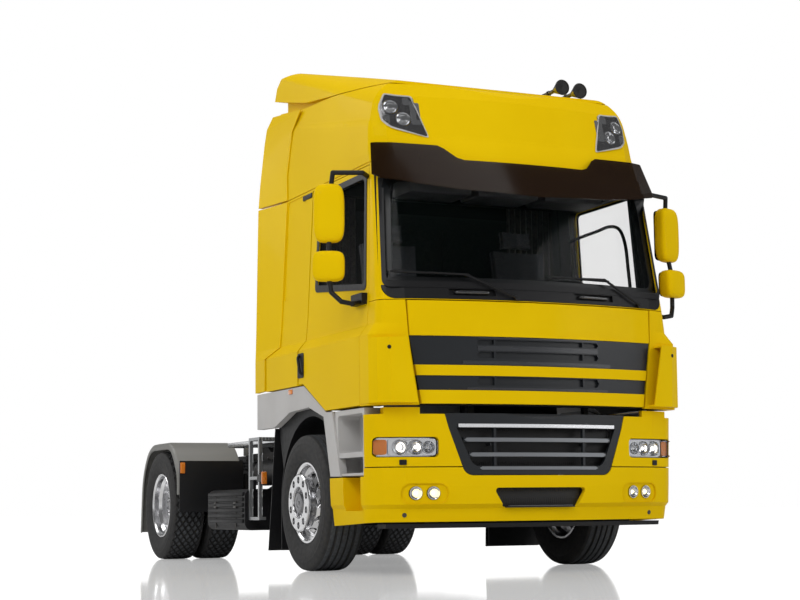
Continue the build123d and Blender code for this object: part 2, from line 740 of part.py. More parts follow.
# Cross members. Columns: (front, rear) y, lower edge
CROSS_MEMBERS = [
    ((-1130, -1070), 715),
    ((760, 840), 715),
    ((1750, 1830), 745),
    ((WHEELBASE - 1100, WHEELBASE - 1020), 740),
    ((WHEELBASE - 470, WHEELBASE - 390), 740),
    ((WHEELBASE + 380, WHEELBASE + 460), 740),
    ((WHEELBASE + 620, WHEELBASE + 680), 715),
]
TILT_FOOT = [(-1130, 950), (-1325, 1082), (-1358, 1075), (-1358, 1040)]


def chassis_frame():
    low = RAIL_TOP - RAIL_DEPTH
    rail = block((RAIL_X - RAIL_FLANGE, RAIL_X), RAIL_Y, (low, RAIL_TOP))
    channel_z = (low + RAIL_WEB, RAIL_TOP - RAIL_WEB)
    rail -= block((RAIL_X - RAIL_FLANGE - 1, RAIL_X - RAIL_WEB), RAIL_Y, channel_z)
    frame = rail + mirror(rail, about=Plane.YZ)
    for y, low_z in CROSS_MEMBERS:
        frame += block((-RAIL_X + RAIL_WEB / 2, RAIL_X - RAIL_WEB / 2), y, (low_z, 950))
    for side in (1, -1):
        foot = side_prism([(-1130, 760), *TILT_FOOT, (-1200, 800)], (396, 434))
        ear = side_prism([(-1130, 800), *TILT_FOOT, (-1200, 840)], (486, 520))
        web = block((396, 520), (-1150, -1130), (760, 950))
        pin = rod((396, TILT_Y, TILT_Z), (520, TILT_Y, TILT_Z), 14)
        frame += on_side(foot + ear + web + pin, side)
        latch = block((360, 430), (690, 760), (RAIL_TOP - 1, 1330))
        frame += on_side(latch, side)
    return frame


def front_axle():
    edge = [(520, 350), (620, 415), (880, 415), (880, 495), (600, 495), (500, 440)]
    beam = front_prism(mirrored_outline(edge), (-45, 45))
    for x in (-KINGPIN_X, KINGPIN_X):
        beam += rod((x, 0, 410), (x, 0, 500), 50)
        beam -= rod((x, 0, 400), (x, 0, 510), 25.05)
    for x in (-410, 410):
        beam += block((x - 45, x + 45), (-90, 90), (430, 470))
    return beam


def springs():
    leaf = [
        (-800, 640), (-800, 610), (-300, 490), (-120, 470), (120, 470), (300, 490), (800, 610),
        (800, 640), (0, 530),
    ]
    front = side_prism(leaf, (370, 450))
    hangers = block((370, 450), (-830, -790), (600, 699)) + block((370, 450), (790, 830), (600, 699))
    bag_y = WHEELBASE + 280
    rear = block((462, 542), (WHEELBASE - 450, WHEELBASE + 350), (380, 425))
    rear += rod((502, bag_y, 425), (502, bag_y, 740), 66)
    tower = block((RAIL_X, 568), (WHEELBASE + 160, WHEELBASE + 400), (740, 790))
    tower += block((RAIL_X, 542), (WHEELBASE - 460, WHEELBASE - 380), (380, 790))
    return both(front + hangers) + both(rear + tower)


def rear_axle():
    housing = rod((-660, WHEELBASE, HUB_Z), (660, WHEELBASE, HUB_Z), 78)
    housing += rod((-1120, WHEELBASE, HUB_Z), (1120, WHEELBASE, HUB_Z), 55)
    housing += Pos(0, WHEELBASE, HUB_Z) * Sphere(205)
    housing += rod((0, WHEELBASE - 340, HUB_Z + 30), (0, WHEELBASE, HUB_Z + 30), 90)
    for x in (-502, 502):
        housing += block((x - 39, x + 39), (WHEELBASE - 120, WHEELBASE + 120), (426, 470))
    return housing


def engine_block():
    block_shape = block((-330, 330), (-820, 560), (690, 1290))
    sump = block((-200, 200), (-500, 560), (560, 700))
    gearbox = block((-230, 230), (560, 740), (640, 1010)) + block((-210, 210), (850, 1400), (600, 930))
    gearbox += block((-180, 180), (740, 850), (600, 700))
    return block_shape + sump + gearbox


def cooling_pack():
    return block((-345, 345), (-1050, -880), (560, 1300))


def propeller_shaft():
    return rod((0, 1405, 690), (0, WHEELBASE - 345, HUB_Z + 30), 50)


def tank(y, x, z):
    return fillet(block(x, y, z).edges().filter_by(Axis.Y), 90)


def fuel_tank():
    body = tank((1330, 2660), (520, 1150), (330, 930))
    for y in (1500, 2450):
        body += block((RAIL_X, 530), (y, y + 60), (720, 900))
    return body


def battery_box():
    box = fillet(block((-1150, -560), (1565, 2565), (285, 626)).edges().filter_by(Axis.Y), 60)
    for y in (1600, 2440):
        box += block((-620, -RAIL_X), (y, y + 60), (540, 640))
        box += block((-470, -RAIL_X), (y, y + 60), (640, 800))
    return box


def air_tanks():
    tanks = rod((-640, 1600, 780), (-640, 2500, 780), 115)
    for y in (1700, 2360):
        tanks += block((-560, -RAIL_X), (y, y + 40), (740, 820))
    return tanks


def exhaust_silencer():
    box = fillet(block((560, 1120), (780, 1230), (400, 860)).edges().filter_by(Axis.Z), 60)
    return box + block((RAIL_X, 570), (900, 1100), (720, 800))


def catwalk():
    deck = block((-900, 900), (1130, CATWALK_REAR), (1020, 1045))
    for y in (1200, 1900, CATWALK_REAR - 70):
        deck += both(block((350, 440), (y, y + 60), (RAIL_TOP, 1022)))
    ladder = block((-1120, -1090), (1300, 1330), (370, 1045))
    ladder += block((-1120, -1090), (1530, 1560), (370, 1045))
    for z in (370, 700, 1020):
        ladder += block((-1120, -1060), (1300, 1560), (z, z + 25))
    ladder += block((-1120, -880), (1300, 1560), (1020, 1045))
    return deck + ladder


def rear_mudguards():
    # Columns: distance behind the axle, height
    section = [
        (-630, 600), (-630, 760), (-380, 1094), (380, 1094), (640, 800), (695, 247), (683, 247),
        (628, 795), (375, 1082), (-374, 1082), (-618, 756), (-618, 600),
    ]
    guard = side_prism([(WHEELBASE + y, z) for y, z in section], (610, 1240))
    stay = block((RAIL_X - 20, RAIL_X + 30), (WHEELBASE - 230, WHEELBASE - 170), (RAIL_TOP, 1084))
    stay += block((RAIL_X - 20, RAIL_X + 30), (WHEELBASE + 370, WHEELBASE + 430), (RAIL_TOP, 1024))
    for y, z in ((WHEELBASE - 200, 1060), (WHEELBASE + 400, 1000)):
        stay += rod((RAIL_X, y, z), (700, y, z), 24)
    return both(guard + stay)


def rear_lamps():
    bar = block((-900, 900), (REAR_END - 66, REAR_END - 50), (700, 760))
    lamp = block((620, 980), (REAR_END - 50, REAR_END), (640, 780))
    return bar + lamp + mirror(lamp, about=Plane.YZ)


def fifth_wheel_base():
    sole = block((-400, 400), (COUPLING_Y - 400, COUPLING_Y + 450), (RAIL_TOP, 982))
    ear_outline = [(-190, 980), (-50, ROCKER_Z + 45), (50, ROCKER_Z + 45), (190, 980)]
    for side in (1, -1):
        ear = Pos(0, COUPLING_Y, 0) * side_prism(ear_outline, (330, 380))
        pin = rod((300, COUPLING_Y, ROCKER_Z + 15), (380, COUPLING_Y, ROCKER_Z + 15), 22)
        sole += on_side(ear + pin, side)
    return sole


def fifth_wheel_plate():
    plate = Pos(0, COUPLING_Y, PLATE_TOP - 20) * Cylinder(460, 40)
    plate &= block((-430, 430), (COUPLING_Y - 470, COUPLING_Y + 470), (0, 2000))
    throat = plan_prism([(-45, 60), (45, 60), (160, 480), (-160, 480)], (1000, 1200))
    plate -= Pos(0, COUPLING_Y, 0) * throat
    plate -= rod((0, COUPLING_Y, 1000), (0, COUPLING_Y, 1200), KINGPIN_BORE_R)
    lug_outline = [(-60, PLATE_TOP - 30), (-40, 990), (40, 990), (60, PLATE_TOP - 30)]
    bore = rod((260, COUPLING_Y, ROCKER_Z + 15), (340, COUPLING_Y, ROCKER_Z + 15), 22.05)
    for side in (1, -1):
        lug = Pos(0, COUPLING_Y, 0) * side_prism(lug_outline, (270, 322))
        plate += on_side(lug, side)
        plate -= on_side(bore, side)
    return plate


# Running gear

# Both profiles: distance from the wheel's middle plane, radius
RIM_BARREL = [
    (-RIM_HALF, FLANGE_R), (-RIM_HALF + 9, FLANGE_R), (-RIM_HALF + 9, BEAD_R), (-80, BEAD_R - 2),
    (-55, 262), (55, 262), (80, BEAD_R - 2), (RIM_HALF - 9, BEAD_R), (RIM_HALF - 9, FLANGE_R),
    (RIM_HALF, FLANGE_R), (RIM_HALF, 284), (RIM_HALF - 8, 274), (75, 272), (50, 250),
    (-50, 250), (-75, 272), (-RIM_HALF + 8, 274), (-RIM_HALF, 284),
]
TYRE_SECTION = [
    (-112, 290), (-143, 340), (-TYRE_HALF, 405), (-143, 485), (-122, TYRE_R), (122, TYRE_R),
    (143, 485), (TYRE_HALF, 405), (143, 340), (112, 290),
]


def wheel_at(shape, x, y, side):
    """Places a wheel piece drawn with its outboard side towards +X."""
    return on_side(Pos(x, y, HUB_Z) * shape, side)


def front_rim(side):
    disc = [(30, 255), (50, 255), (118, 190), (128, 172), (128, 60), (112, 60), (112, 168), (102, 182)]
    hub = [
        (-60, 40.05), (-60, 95), (60, 100), (112, 120), (128, 120), (150, 118), (170, 70), (190, 66),
        (190, 0), (80, 0), (80, 40.05),
    ]
    rim = turned(RIM_BARREL) + turned(disc) + turned(hub)
    for turn in range(10):
        rim -= Rot(36 * turn, 0, 0) * Pos(95, 215, 0) * Rot(0, 45, 0) * Cylinder(26, 120)
    return wheel_at(rim, FRONT_TRACK_X, 0, side)


def tyre():
    """A tyre with TYRE_SIDES flats, one of them at the bottom, and a bore that clears the rim."""
    turn = 180 / TYRE_SIDES
    ring = lambda x, radius: Plane.YZ.offset(x) * RegularPolygon(radius, TYRE_SIDES, rotation=turn)
    body = loft([ring(x, radius) for x, radius in TYRE_SECTION], ruled=True)
    bore = Plane.YZ.offset(-200) * RegularPolygon(BEAD_R + 0.5, TYRE_SIDES, major_radius=False)
    return body - extrude(bore, amount=400, dir=(1, 0, 0))


def front_tyre(side):
    return wheel_at(tyre(), FRONT_TRACK_X, 0, side)


REAR_DISH = [
    (-40, 255), (-55, 255), (-160, 180), (-176, 170), (-175, 100), (-163, 100), (-162, 162),
    (-148, 172),
]


def rear_rims(side):
    outer_x, inner_x = TWIN_X
    middle = (outer_x + inner_x) / 2
    rims = Pos(outer_x, 0, 0) * turned(RIM_BARREL) + Pos(inner_x, 0, 0) * turned(RIM_BARREL)
    for sign, x in ((1, outer_x), (-1, inner_x)):
        rims += Pos(x, 0, 0) * turned([(depth * sign, radius) for depth, radius in REAR_DISH])
    hub = [
        (-120, 55.05), (-120, 150), (-10, 165), (20, 165), (60, 120), (170, 115), (215, 100),
        (222, 0), (209, 0), (209, 55.05),
    ]
    rims += Pos(middle, 0, 0) * turned(hub)
    return wheel_at(rims, 0, WHEELBASE, side)


def rear_tyres(side):
    return group([wheel_at(tyre(), x, WHEELBASE, side) for x in TWIN_X])


ARM_Y = 170
STUD_R = 12


def steering_knuckle(side):
    pin = rod((KINGPIN_X, 0, 372), (KINGPIN_X, 0, 540), 25)
    fork = block((KINGPIN_X - 45, 1000), (-45, 45), (506, 545))
    fork += block((KINGPIN_X - 45, 1000), (-45, 45), (365, 404))
    cheek = block((986, 1010), (-70, 70), (365, 640))
    spindle = rod((1000, 0, HUB_Z), (1152, 0, HUB_Z), 40)
    arm = block((KINGPIN_X - 22, KINGPIN_X + 22), (0, ARM_Y), (369, 395))
    arm += rod((KINGPIN_X, ARM_Y, 369), (KINGPIN_X, ARM_Y, 395), 22)
    clearance = 0.05 if side > 0 else 1
    hole = rod((KINGPIN_X, ARM_Y, 360), (KINGPIN_X, ARM_Y, 400), STUD_R + clearance)
    return on_side(pin + fork + cheek + spindle + arm - hole, side)


def track_rod():
    bar = rod((-KINGPIN_X, ARM_Y, 344), (KINGPIN_X, ARM_Y, 344), 18)
    for x in (-KINGPIN_X, KINGPIN_X):
        bar += Pos(x, ARM_Y, 344) * Sphere(18)
        bar += rod((x, ARM_Y, 344), (x, ARM_Y, 394), STUD_R)
    return bar


# Every piece, by node name
PIECES = {
    "cab_shell": cab_shell,
    "corner_panels": corner_panels,
    "front_lid": front_lid,
    "upper_grille": upper_grille,
    "windscreen": windscreen,
    "wiper_cowl": wiper_cowl,
    "roof_cap": roof_cap,
    "roof_deflector": roof_deflector,
    "side_collars": side_collars,
    "sun_visor": sun_visor,
    "roof_lamps": roof_lamps,
    "air_horns": air_horns,
    "dashboard": dashboard,
    "steering_wheel": steering_wheel,
    "seats": seats,
    "bunk": bunk,
    "front_bumper": front_bumper,
    "headlamp_panels": headlamp_panels,
    "lower_grille": lower_grille,
    "front_lamps": front_lamps,
    "underrun_bar": underrun_bar,
    "step_wells": step_wells,
    "wheel_arch_panels": wheel_arch_panels,
    "front_mudguards": front_mudguards,
    "chassis_frame": chassis_frame,
    "front_axle": front_axle,
    "springs": springs,
    "rear_axle": rear_axle,
    "engine_block": engine_block,
    "cooling_pack": cooling_pack,
    "propeller_shaft": propeller_shaft,
    "fuel_tank": fuel_tank,
    "battery_box": battery_box,
    "air_tanks": air_tanks,
    "exhaust_silencer": exhaust_silencer,
    "catwalk": catwalk,
    "rear_mudguards": rear_mudguards,
    "rear_lamps": rear_lamps,
    "fifth_wheel_base": fifth_wheel_base,
    "fifth_wheel_plate": fifth_wheel_plate,
    "track_rod": track_rod,
}
SIDED_PIECES = {
    "door": door,
    "door_glass": door_glass,
    "mirrors": mirrors,
    "mirror_arms": mirror_arms,
    "steering_knuckle": steering_knuckle,
    "front_rim": front_rim,
    "front_tyre": front_tyre,
    "rear_rims": rear_rims,
    "rear_tyres": rear_tyres,
}


def write(name, shape):
    export_step(Pos(0, AXLE_Y, 0) * Compound(children=shape.solids()), f"parts/{name}.step")


for name, make in PIECES.items():
    write(name, make())
for name, make in SIDED_PIECES.items():
    write(f"{name}_left", make(1))
    write(f"{name}_right", make(-1))
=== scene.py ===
import math
import random

import bmesh
import bpy
from mathutils import Matrix, Vector
from mathutils.bvhtree import BVHTree


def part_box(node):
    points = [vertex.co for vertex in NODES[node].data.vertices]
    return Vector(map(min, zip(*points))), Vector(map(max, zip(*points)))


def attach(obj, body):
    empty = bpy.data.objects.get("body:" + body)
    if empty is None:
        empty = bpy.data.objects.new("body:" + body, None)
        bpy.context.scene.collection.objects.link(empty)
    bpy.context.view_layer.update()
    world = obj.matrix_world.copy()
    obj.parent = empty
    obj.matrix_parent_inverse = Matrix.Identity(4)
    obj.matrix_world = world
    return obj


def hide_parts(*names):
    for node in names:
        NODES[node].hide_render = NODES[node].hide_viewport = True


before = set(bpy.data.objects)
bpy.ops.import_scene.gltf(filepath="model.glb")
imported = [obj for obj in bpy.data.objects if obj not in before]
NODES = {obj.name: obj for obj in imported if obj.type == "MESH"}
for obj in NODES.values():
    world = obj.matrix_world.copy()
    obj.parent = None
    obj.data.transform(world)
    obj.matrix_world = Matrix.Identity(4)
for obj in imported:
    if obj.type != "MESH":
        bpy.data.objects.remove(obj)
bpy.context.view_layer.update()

# Lengths are metres. Y positions below are written from the front axle, as on a drawing of
# the truck, and at() moves them into the frame.
AXLE_LOW, AXLE_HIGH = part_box("front_axle")
AXLE_Y = (AXLE_LOW[1] + AXLE_HIGH[1]) / 2
HUB_Z = 0.503
WHEELBASE = 3.8
SIDES = ((-1, "right"), (1, "left"))
AHEAD = (0, -1, 0)


def at(x, y, z):
    """A point given with Y from the front axle, as a vector in the frame."""
    return Vector((x, y + AXLE_Y, z))


# ---------------------------------------------------------------- camera, floor and light

CAMERA_PLACE = at(-5.740, -11.813, 0.461)
CAMERA_YAW, CAMERA_PITCH, CAMERA_ROLL = (math.radians(a) for a in (24.216, 7.005, -0.598))
CAMERA_LENS = 75.96


def link_object(name, data):
    made = bpy.data.objects.new(name, data)
    bpy.context.scene.collection.objects.link(made)
    return made


def make_camera():
    data = bpy.data.cameras.new("camera")
    data.lens = CAMERA_LENS
    data.sensor_width = 36
    data.clip_end = 400
    camera = link_object("camera", data)
    turn = Matrix.Rotation(-CAMERA_YAW, 4, "Z") @ Matrix.Rotation(math.pi / 2 + CAMERA_PITCH, 4, "X")
    camera.matrix_world = Matrix.Translation(CAMERA_PLACE) @ turn @ Matrix.Rotation(CAMERA_ROLL, 4, "Z")
    bpy.context.scene.camera = camera


def area_light(name, place, target, size, power):
    data = bpy.data.lights.new(name, "AREA")
    data.shape = "RECTANGLE"
    data.size, data.size_y = size
    data.energy = power
    light = link_object(name, data)
    light.location = place
    light.rotation_euler = (target - place).to_track_quat("-Z", "Y").to_euler()


def make_lights():
    middle = at(0, 0.5, 1.6)
    area_light("key", at(-9, -9, 9), middle, (7, 6), 700)
    area_light("fill", at(10, -11, 6), middle, (6, 6), 420)
    area_light("top", at(0, 1, 13), at(0, 1, 0), (9, 12), 520)
    area_light("rear", at(-8, 9, 7), middle, (5, 5), 300)


def add_node(tree, kind, **values):
    """A shader node, with its input sockets or its properties set by name."""
    node = tree.nodes.new(kind)
    for key, value in values.items():
        socket = key.replace("_", " ")
        if socket in node.inputs:
            node.inputs[socket].default_value = value
        else:
            setattr(node, key, value)
    return node


WORLD_FILL = 0.42
# Brightness seen in reflections, low round the horizon and overhead
WORLD_LOW, WORLD_HIGH = 0.90, 0.16
# Sine of the elevation where the low part ends and the high part starts
WORLD_BAND = (0.05, 0.22)


def make_world():
    """White for the camera and through glass; a bright horizon under a darker sky in reflections."""
    world = bpy.data.worlds.new("studio")
    bpy.context.scene.world = world
    world.use_nodes = True
    tree = world.node_tree
    tree.nodes.clear()
    path = add_node(tree, "ShaderNodeLightPath").outputs
    place = add_node(tree, "ShaderNodeTexCoord")
    split = add_node(tree, "ShaderNodeSeparateXYZ")
    band = add_node(tree, "ShaderNodeMapRange", From_Min=WORLD_BAND[0], From_Max=WORLD_BAND[1],
                    To_Min=WORLD_LOW, To_Max=WORLD_HIGH)
    fill, mirrored_sky, white = (add_node(tree, "ShaderNodeBackground", Color=(1, 1, 1, 1), Strength=strength)
                                 for strength in (WORLD_FILL, 1.0, 1.0))
    either = add_node(tree, "ShaderNodeMath", operation="MAXIMUM")
    gloss = add_node(tree, "ShaderNodeMixShader")
    seen = add_node(tree, "ShaderNodeMixShader")
    out = add_node(tree, "ShaderNodeOutputWorld")
    for source, target in (
        (place.outputs["Generated"], split.inputs[0]), (split.outputs["Z"], band.inputs["Value"]),
        (band.outputs["Result"], mirrored_sky.inputs["Strength"]), (path["Is Glossy Ray"], gloss.inputs[0]),
        (fill.outputs[0], gloss.inputs[1]), (mirrored_sky.outputs[0], gloss.inputs[2]),
        (path["Is Camera Ray"], either.inputs[0]), (path["Is Transmission Ray"], either.inputs[1]),
        (either.outputs[0], seen.inputs[0]), (gloss.outputs[0], seen.inputs[1]),
        (white.outputs[0], seen.inputs[2]), (seen.outputs[0], out.inputs["Surface"]),
    ):
        tree.links.new(source, target)


# ---------------------------------------------------------------- materials


class Shader:
    """A node material round one Principled shader."""

    def __init__(self, name, colour, rough, metal=0.0, **sockets):
        self.material = bpy.data.materials.new(name)
        self.material.use_nodes = True
        self.material.diffuse_color = (*colour, 1)
        self.tree = self.material.node_tree
        self.link = self.tree.links.new
        self.bsdf = self.tree.nodes["Principled BSDF"]
        values = {"Base Color": (*colour, 1), "Roughness": rough, "Metallic": metal, **sockets}
        for socket, value in values.items():
            self.bsdf.inputs[socket.replace("_", " ")].default_value = value

    def node(self, kind, **values):
        return add_node(self.tree, kind, **values)

    def position(self, stretch=(1, 1, 1), shift=(0, 0, 0)):
        mapping = self.node("ShaderNodeMapping", Scale=stretch, Location=shift)
        self.link(self.node("ShaderNodeTexCoord").outputs["Object"], mapping.inputs["Vector"])
        return mapping.outputs["Vector"]

    def noise(self, scale, detail=2.0, stretch=(1, 1, 1)):
        noise = self.node("ShaderNodeTexNoise", Scale=scale, Detail=detail)
        self.link(self.position(stretch), noise.inputs["Vector"])
        return noise.outputs["Fac"]

    def calc(self, operation, *values):
        """A Math node on numbers and outputs."""
        maths = self.node("ShaderNodeMath", operation=operation)
        for socket, value in zip(maths.inputs, values):
            if hasattr(value, "links"):
                self.link(value, socket)
            else:
                socket.default_value = value
        return maths.outputs[0]

    def ramp(self, value, stops):
        ramp = self.node("ShaderNodeValToRGB")
        for element, (place, colour) in zip(ramp.color_ramp.elements, stops):
            element.position = place
            element.color = (*colour, 1)
        self.link(value, ramp.inputs["Fac"])
        return ramp.outputs["Color"]

    def mottle(self, scale, low, high):
        return self.ramp(self.noise(scale, 3), [(0.35, low), (0.65, high)])

    def vary_colour(self, scale, low, high):
        self.link(self.mottle(scale, low, high), self.bsdf.inputs["Base Color"])
        return self

    def vary_rough(self, scale, low, high, stretch=(1, 1, 1)):
        span = self.node("ShaderNodeMapRange", To_Min=low, To_Max=high)
        self.link(self.noise(scale, 3, stretch), span.inputs["Value"])
        self.link(span.outputs["Result"], self.bsdf.inputs["Roughness"])
        return self

    def bump(self, height, distance, strength=1.0):
        bump = self.node("ShaderNodeBump", Strength=strength, Distance=distance)
        self.link(height, bump.inputs["Height"])
        self.link(bump.outputs["Normal"], self.bsdf.inputs["Normal"])
        return self

    def grain(self, scale, distance, strength=1.0, stretch=(1, 1, 1)):
        return self.bump(self.noise(scale, 2, stretch), distance, strength)

    def waves(self, scale, direction):
        wave = self.node("ShaderNodeTexWave", Scale=scale, bands_direction=direction)
        self.link(self.position(), wave.inputs["Vector"])
        return wave.outputs["Fac"]

    def ribs(self, scale, distance, direction="X"):
        return self.bump(self.waves(scale, direction), distance)

    def weave(self, scale, distance):
        """Warp and weft as two crossed waves."""
        return self.bump(self.calc("ADD", self.waves(scale, "X"), self.waves(scale, "Z")), distance)

    def chequer(self, scale, distance):
        """Raised lozenges of a tread plate."""
        cells = self.node("ShaderNodeTexVoronoi", Scale=scale, Randomness=0.0)
        self.link(self.position((1, 0.5, 0.2)), cells.inputs["Vector"])
        return self.bump(self.ramp(cells.outputs["Distance"], [(0.2, (1, 1, 1)), (0.3, (0, 0, 0))]), distance)


def glow(name, colour, strength):
    shader = Shader(name, colour, 0.2, Emission_Strength=strength, Emission_Color=(*colour, 1))
    return shader.vary_rough(40, 0.1, 0.3)


ENAMEL_RANGE = (1.3, (0.785, 0.515, 0.002), (0.81, 0.54, 0.003))
LINING_COLOUR = (0.016, 0.017, 0.018, 1)
# The cabin's inside for lined_enamel: half width at ground height, then slope, start and bow of the front
CAB_INSIDE = (1.227, 0.185, -1.744, 0.118)
LINED_NODES = {"cab_shell": CAB_INSIDE, "door_left": CAB_INSIDE, "door_right": CAB_INSIDE,
               "roof_cap": (1.187, 0.294, -1.985, 0.160)}
WALL_LEAN, WALL_LIMIT = -0.045, 1.135
CROWN_LEAN, CROWN_START = -1.2, 5.03
REAR_WALL_Y, CAB_FLOOR_Z = 0.79, 1.150


def enamel(name):
    return Shader(name, (0.80, 0.53, 0.002), 0.36, Coat_Weight=0.02, Coat_Roughness=0.06, IOR=1.3,
                  Specular_IOR_Level=0.06, Specular_Tint=(1.0, 0.78, 0.06, 1)).grain(260, 0.00006, 0.25)


def lined_enamel(node):
    """Enamel outside, dark lining inside: everything within the cabin's walls or under its floor."""
    half, slope, start, bow = LINED_NODES[node.name]
    shader = enamel(f"lined_enamel_{node.name}")
    calc = shader.calc
    split = shader.node("ShaderNodeSeparateXYZ")
    shader.link(shader.position(shift=node.matrix_world.translation - at(0, 0, 0)), split.inputs[0])
    x, y, z = split.outputs
    # The inner wall lies inside these planes and the outer skin outside them
    wall = calc("MINIMUM", calc("MULTIPLY_ADD", z, WALL_LEAN, half), WALL_LIMIT)
    crown = calc("MULTIPLY_ADD", z, CROWN_LEAN, CROWN_START)
    within_x = calc("LESS_THAN", calc("ABSOLUTE", x), calc("MINIMUM", wall, crown))
    front = calc("ADD", calc("MULTIPLY_ADD", z, slope, start), calc("MULTIPLY", calc("MULTIPLY", x, x), bow))
    within_y = calc("MULTIPLY", calc("GREATER_THAN", y, front), calc("LESS_THAN", y, REAR_WALL_Y))
    inside = calc("MAXIMUM", calc("MULTIPLY", within_x, within_y), calc("LESS_THAN", z, CAB_FLOOR_Z))
    mix = shader.node("ShaderNodeMix", data_type="RGBA")
    outer, lining = (socket for socket in mix.inputs if socket.type == "RGBA")
    mixed, = (socket for socket in mix.outputs if socket.type == "RGBA")
    lining.default_value = LINING_COLOUR
    shader.link(inside, mix.inputs[0])
    shader.link(shader.mottle(*ENAMEL_RANGE), outer)
    shader.link(mixed, shader.bsdf.inputs["Base Color"])
    return shader


PAINT = enamel("yellow_enamel").vary_colour(*ENAMEL_RANGE)
GLASS = Shader("tinted_glass", (0.006, 0.012, 0.011), 0.02, Alpha=0.07, Specular_IOR_Level=0.4)
GLASS.vary_rough(6, 0.015, 0.035)
BLACK = Shader("black_plastic", (0.008, 0.008, 0.009), 0.45, Specular_IOR_Level=0.25)
BLACK.vary_rough(40, 0.38, 0.55).grain(900, 0.0002, 0.5)
FRIT = Shader("black_frit", (0.005, 0.006, 0.007), 0.35, Specular_IOR_Level=0.25).vary_rough(12, 0.3, 0.4)
SMOKED = Shader("smoked_acrylic", (0.014, 0.006, 0.002), 0.14, Alpha=0.90, Specular_IOR_Level=0.12)
SMOKED.vary_rough(8, 0.08, 0.16)
LENS = Shader("clear_lens", (0.02, 0.02, 0.02), 0.02, Alpha=0.10, Specular_IOR_Level=0.8)
LENS.vary_rough(20, 0.01, 0.05)
HORN = Shader("black_enamel", (0.015, 0.015, 0.016), 0.25, Coat_Weight=0.8).vary_rough(30, 0.2, 0.32)
CABIN = Shader("dash_plastic", (0.020, 0.021, 0.023), 0.6).vary_rough(60, 0.5, 0.7).grain(700, 0.0003, 0.6)
LINING = Shader("lining_felt", (0.022, 0.025, 0.026), 0.95, Sheen_Weight=0.1)
LINING.vary_colour(60, (0.017, 0.020, 0.021), (0.028, 0.031, 0.032)).grain(900, 0.0004)
CLOTH = Shader("seat_cloth", (0.035, 0.038, 0.045), 0.9, Sheen_Weight=0.3)
CLOTH.vary_colour(90, (0.022, 0.024, 0.032), (0.048, 0.052, 0.060)).weave(260, 0.0004)
CURTAIN = Shader("curtain_cloth", (0.06, 0.055, 0.05), 0.92, Sheen_Weight=0.2)
CURTAIN.vary_colour(40, (0.045, 0.042, 0.038), (0.075, 0.07, 0.062)).weave(400, 0.0003)
GRILLE = Shader("grille_plastic", (0.014, 0.016, 0.019), 0.42, Coat_Weight=0.03, Specular_IOR_Level=0.3)
GRILLE.vary_rough(50, 0.30, 0.42).grain(800, 0.0002, 0.5)
SATIN = Shader("satin_slat", (0.20, 0.21, 0.225), 0.30, 0.75).vary_rough(40, 0.25, 0.36, (0.05, 1, 1))
SATIN.grain(500, 0.0001, 0.4, (0.02, 1, 1))
BRIGHT = Shader("bright_trim", (0.78, 0.79, 0.81), 0.22, 0.9).vary_rough(30, 0.18, 0.28, (0.05, 1, 1))
GREY = Shader("grey_plastic", (0.50, 0.49, 0.48), 0.5)
GREY.vary_colour(3, (0.48, 0.47, 0.46), (0.52, 0.51, 0.50)).grain(900, 0.0002, 0.5)
CHASSIS = Shader("chassis_paint", (0.012, 0.012, 0.013), 0.42)
CHASSIS.vary_colour(6, (0.009, 0.009, 0.010), (0.018, 0.017, 0.017)).vary_rough(25, 0.35, 0.6)
CHASSIS.grain(300, 0.0002, 0.5)
CASTING = Shader("engine_casting", (0.06, 0.066, 0.066), 0.6, 0.3)
CASTING.vary_colour(9, (0.045, 0.05, 0.05), (0.09, 0.095, 0.095)).grain(220, 0.0008, 0.7)
RADIATOR = Shader("radiator_core", (0.02, 0.02, 0.022), 0.45, 0.5).ribs(120, 0.002, "Z")
ALUMINIUM = Shader("brushed_aluminium", (0.55, 0.56, 0.58), 0.36, 1.0)
ALUMINIUM.vary_rough(30, 0.30, 0.44, (1, 0.04, 1)).grain(500, 0.0001, 0.5, (1, 0.02, 1))
TREAD_PLATE = Shader("tread_plate", (0.45, 0.46, 0.47), 0.42, 0.9)
TREAD_PLATE.vary_rough(20, 0.36, 0.5).chequer(34, 0.003)
RED = Shader("red_lens", (0.42, 0.008, 0.006), 0.12, Coat_Weight=0.6).ribs(60, 0.001)
AMBER = Shader("amber_lens", (0.80, 0.22, 0.01), 0.12, Coat_Weight=0.6).ribs(60, 0.001)
CLEAR = Shader("reversing_lens", (0.72, 0.72, 0.70), 0.12, Coat_Weight=0.6).ribs(60, 0.001)
STEEL = Shader("greased_steel", (0.10, 0.095, 0.09), 0.38, 0.9)
STEEL.vary_rough(12, 0.25, 0.55).grain(60, 0.0004, 0.5)
CHROME = Shader("polished_aluminium", (0.70, 0.70, 0.71), 0.16, 1.0)
CHROME.vary_rough(14, 0.12, 0.24).grain(120, 0.0002, 0.4)
DARK_CHROME = Shader("hub_finish", (0.22, 0.22, 0.23), 0.22, 1.0).vary_rough(20, 0.16, 0.30)
REFLECTOR = Shader("lamp_reflector", (0.72, 0.73, 0.75), 0.10, 1.0).vary_rough(40, 0.06, 0.14)
LAMP_BEZEL = Shader("lamp_bezel", (0.16, 0.16, 0.165), 0.24, 0.8).vary_rough(30, 0.18, 0.30)
MIRROR = Shader("mirror_glass", (0.82, 0.84, 0.86), 0.02, 1.0).vary_rough(4, 0.01, 0.03)
# Lighter, bluish rubber for the tread's lug tops: partly the tone of worn rubber, partly a painted highlight
# with a painted reflection's blue tint
TREAD_WEAR_AND_HIGHLIGHT = Shader("tread_wear_and_highlight", (0.045, 0.049, 0.054), 0.68).vary_rough(60, 0.6, 0.8)
TREAD_WEAR_AND_HIGHLIGHT.vary_colour(50, (0.036, 0.039, 0.043), (0.060, 0.065, 0.071)).grain(300, 0.0004, 0.5)
RUBBER = Shader("tyre_rubber", (0.020, 0.020, 0.021), 0.72)
RUBBER.vary_colour(30, (0.016, 0.016, 0.017), (0.027, 0.026, 0.025)).vary_rough(40, 0.62, 0.85)
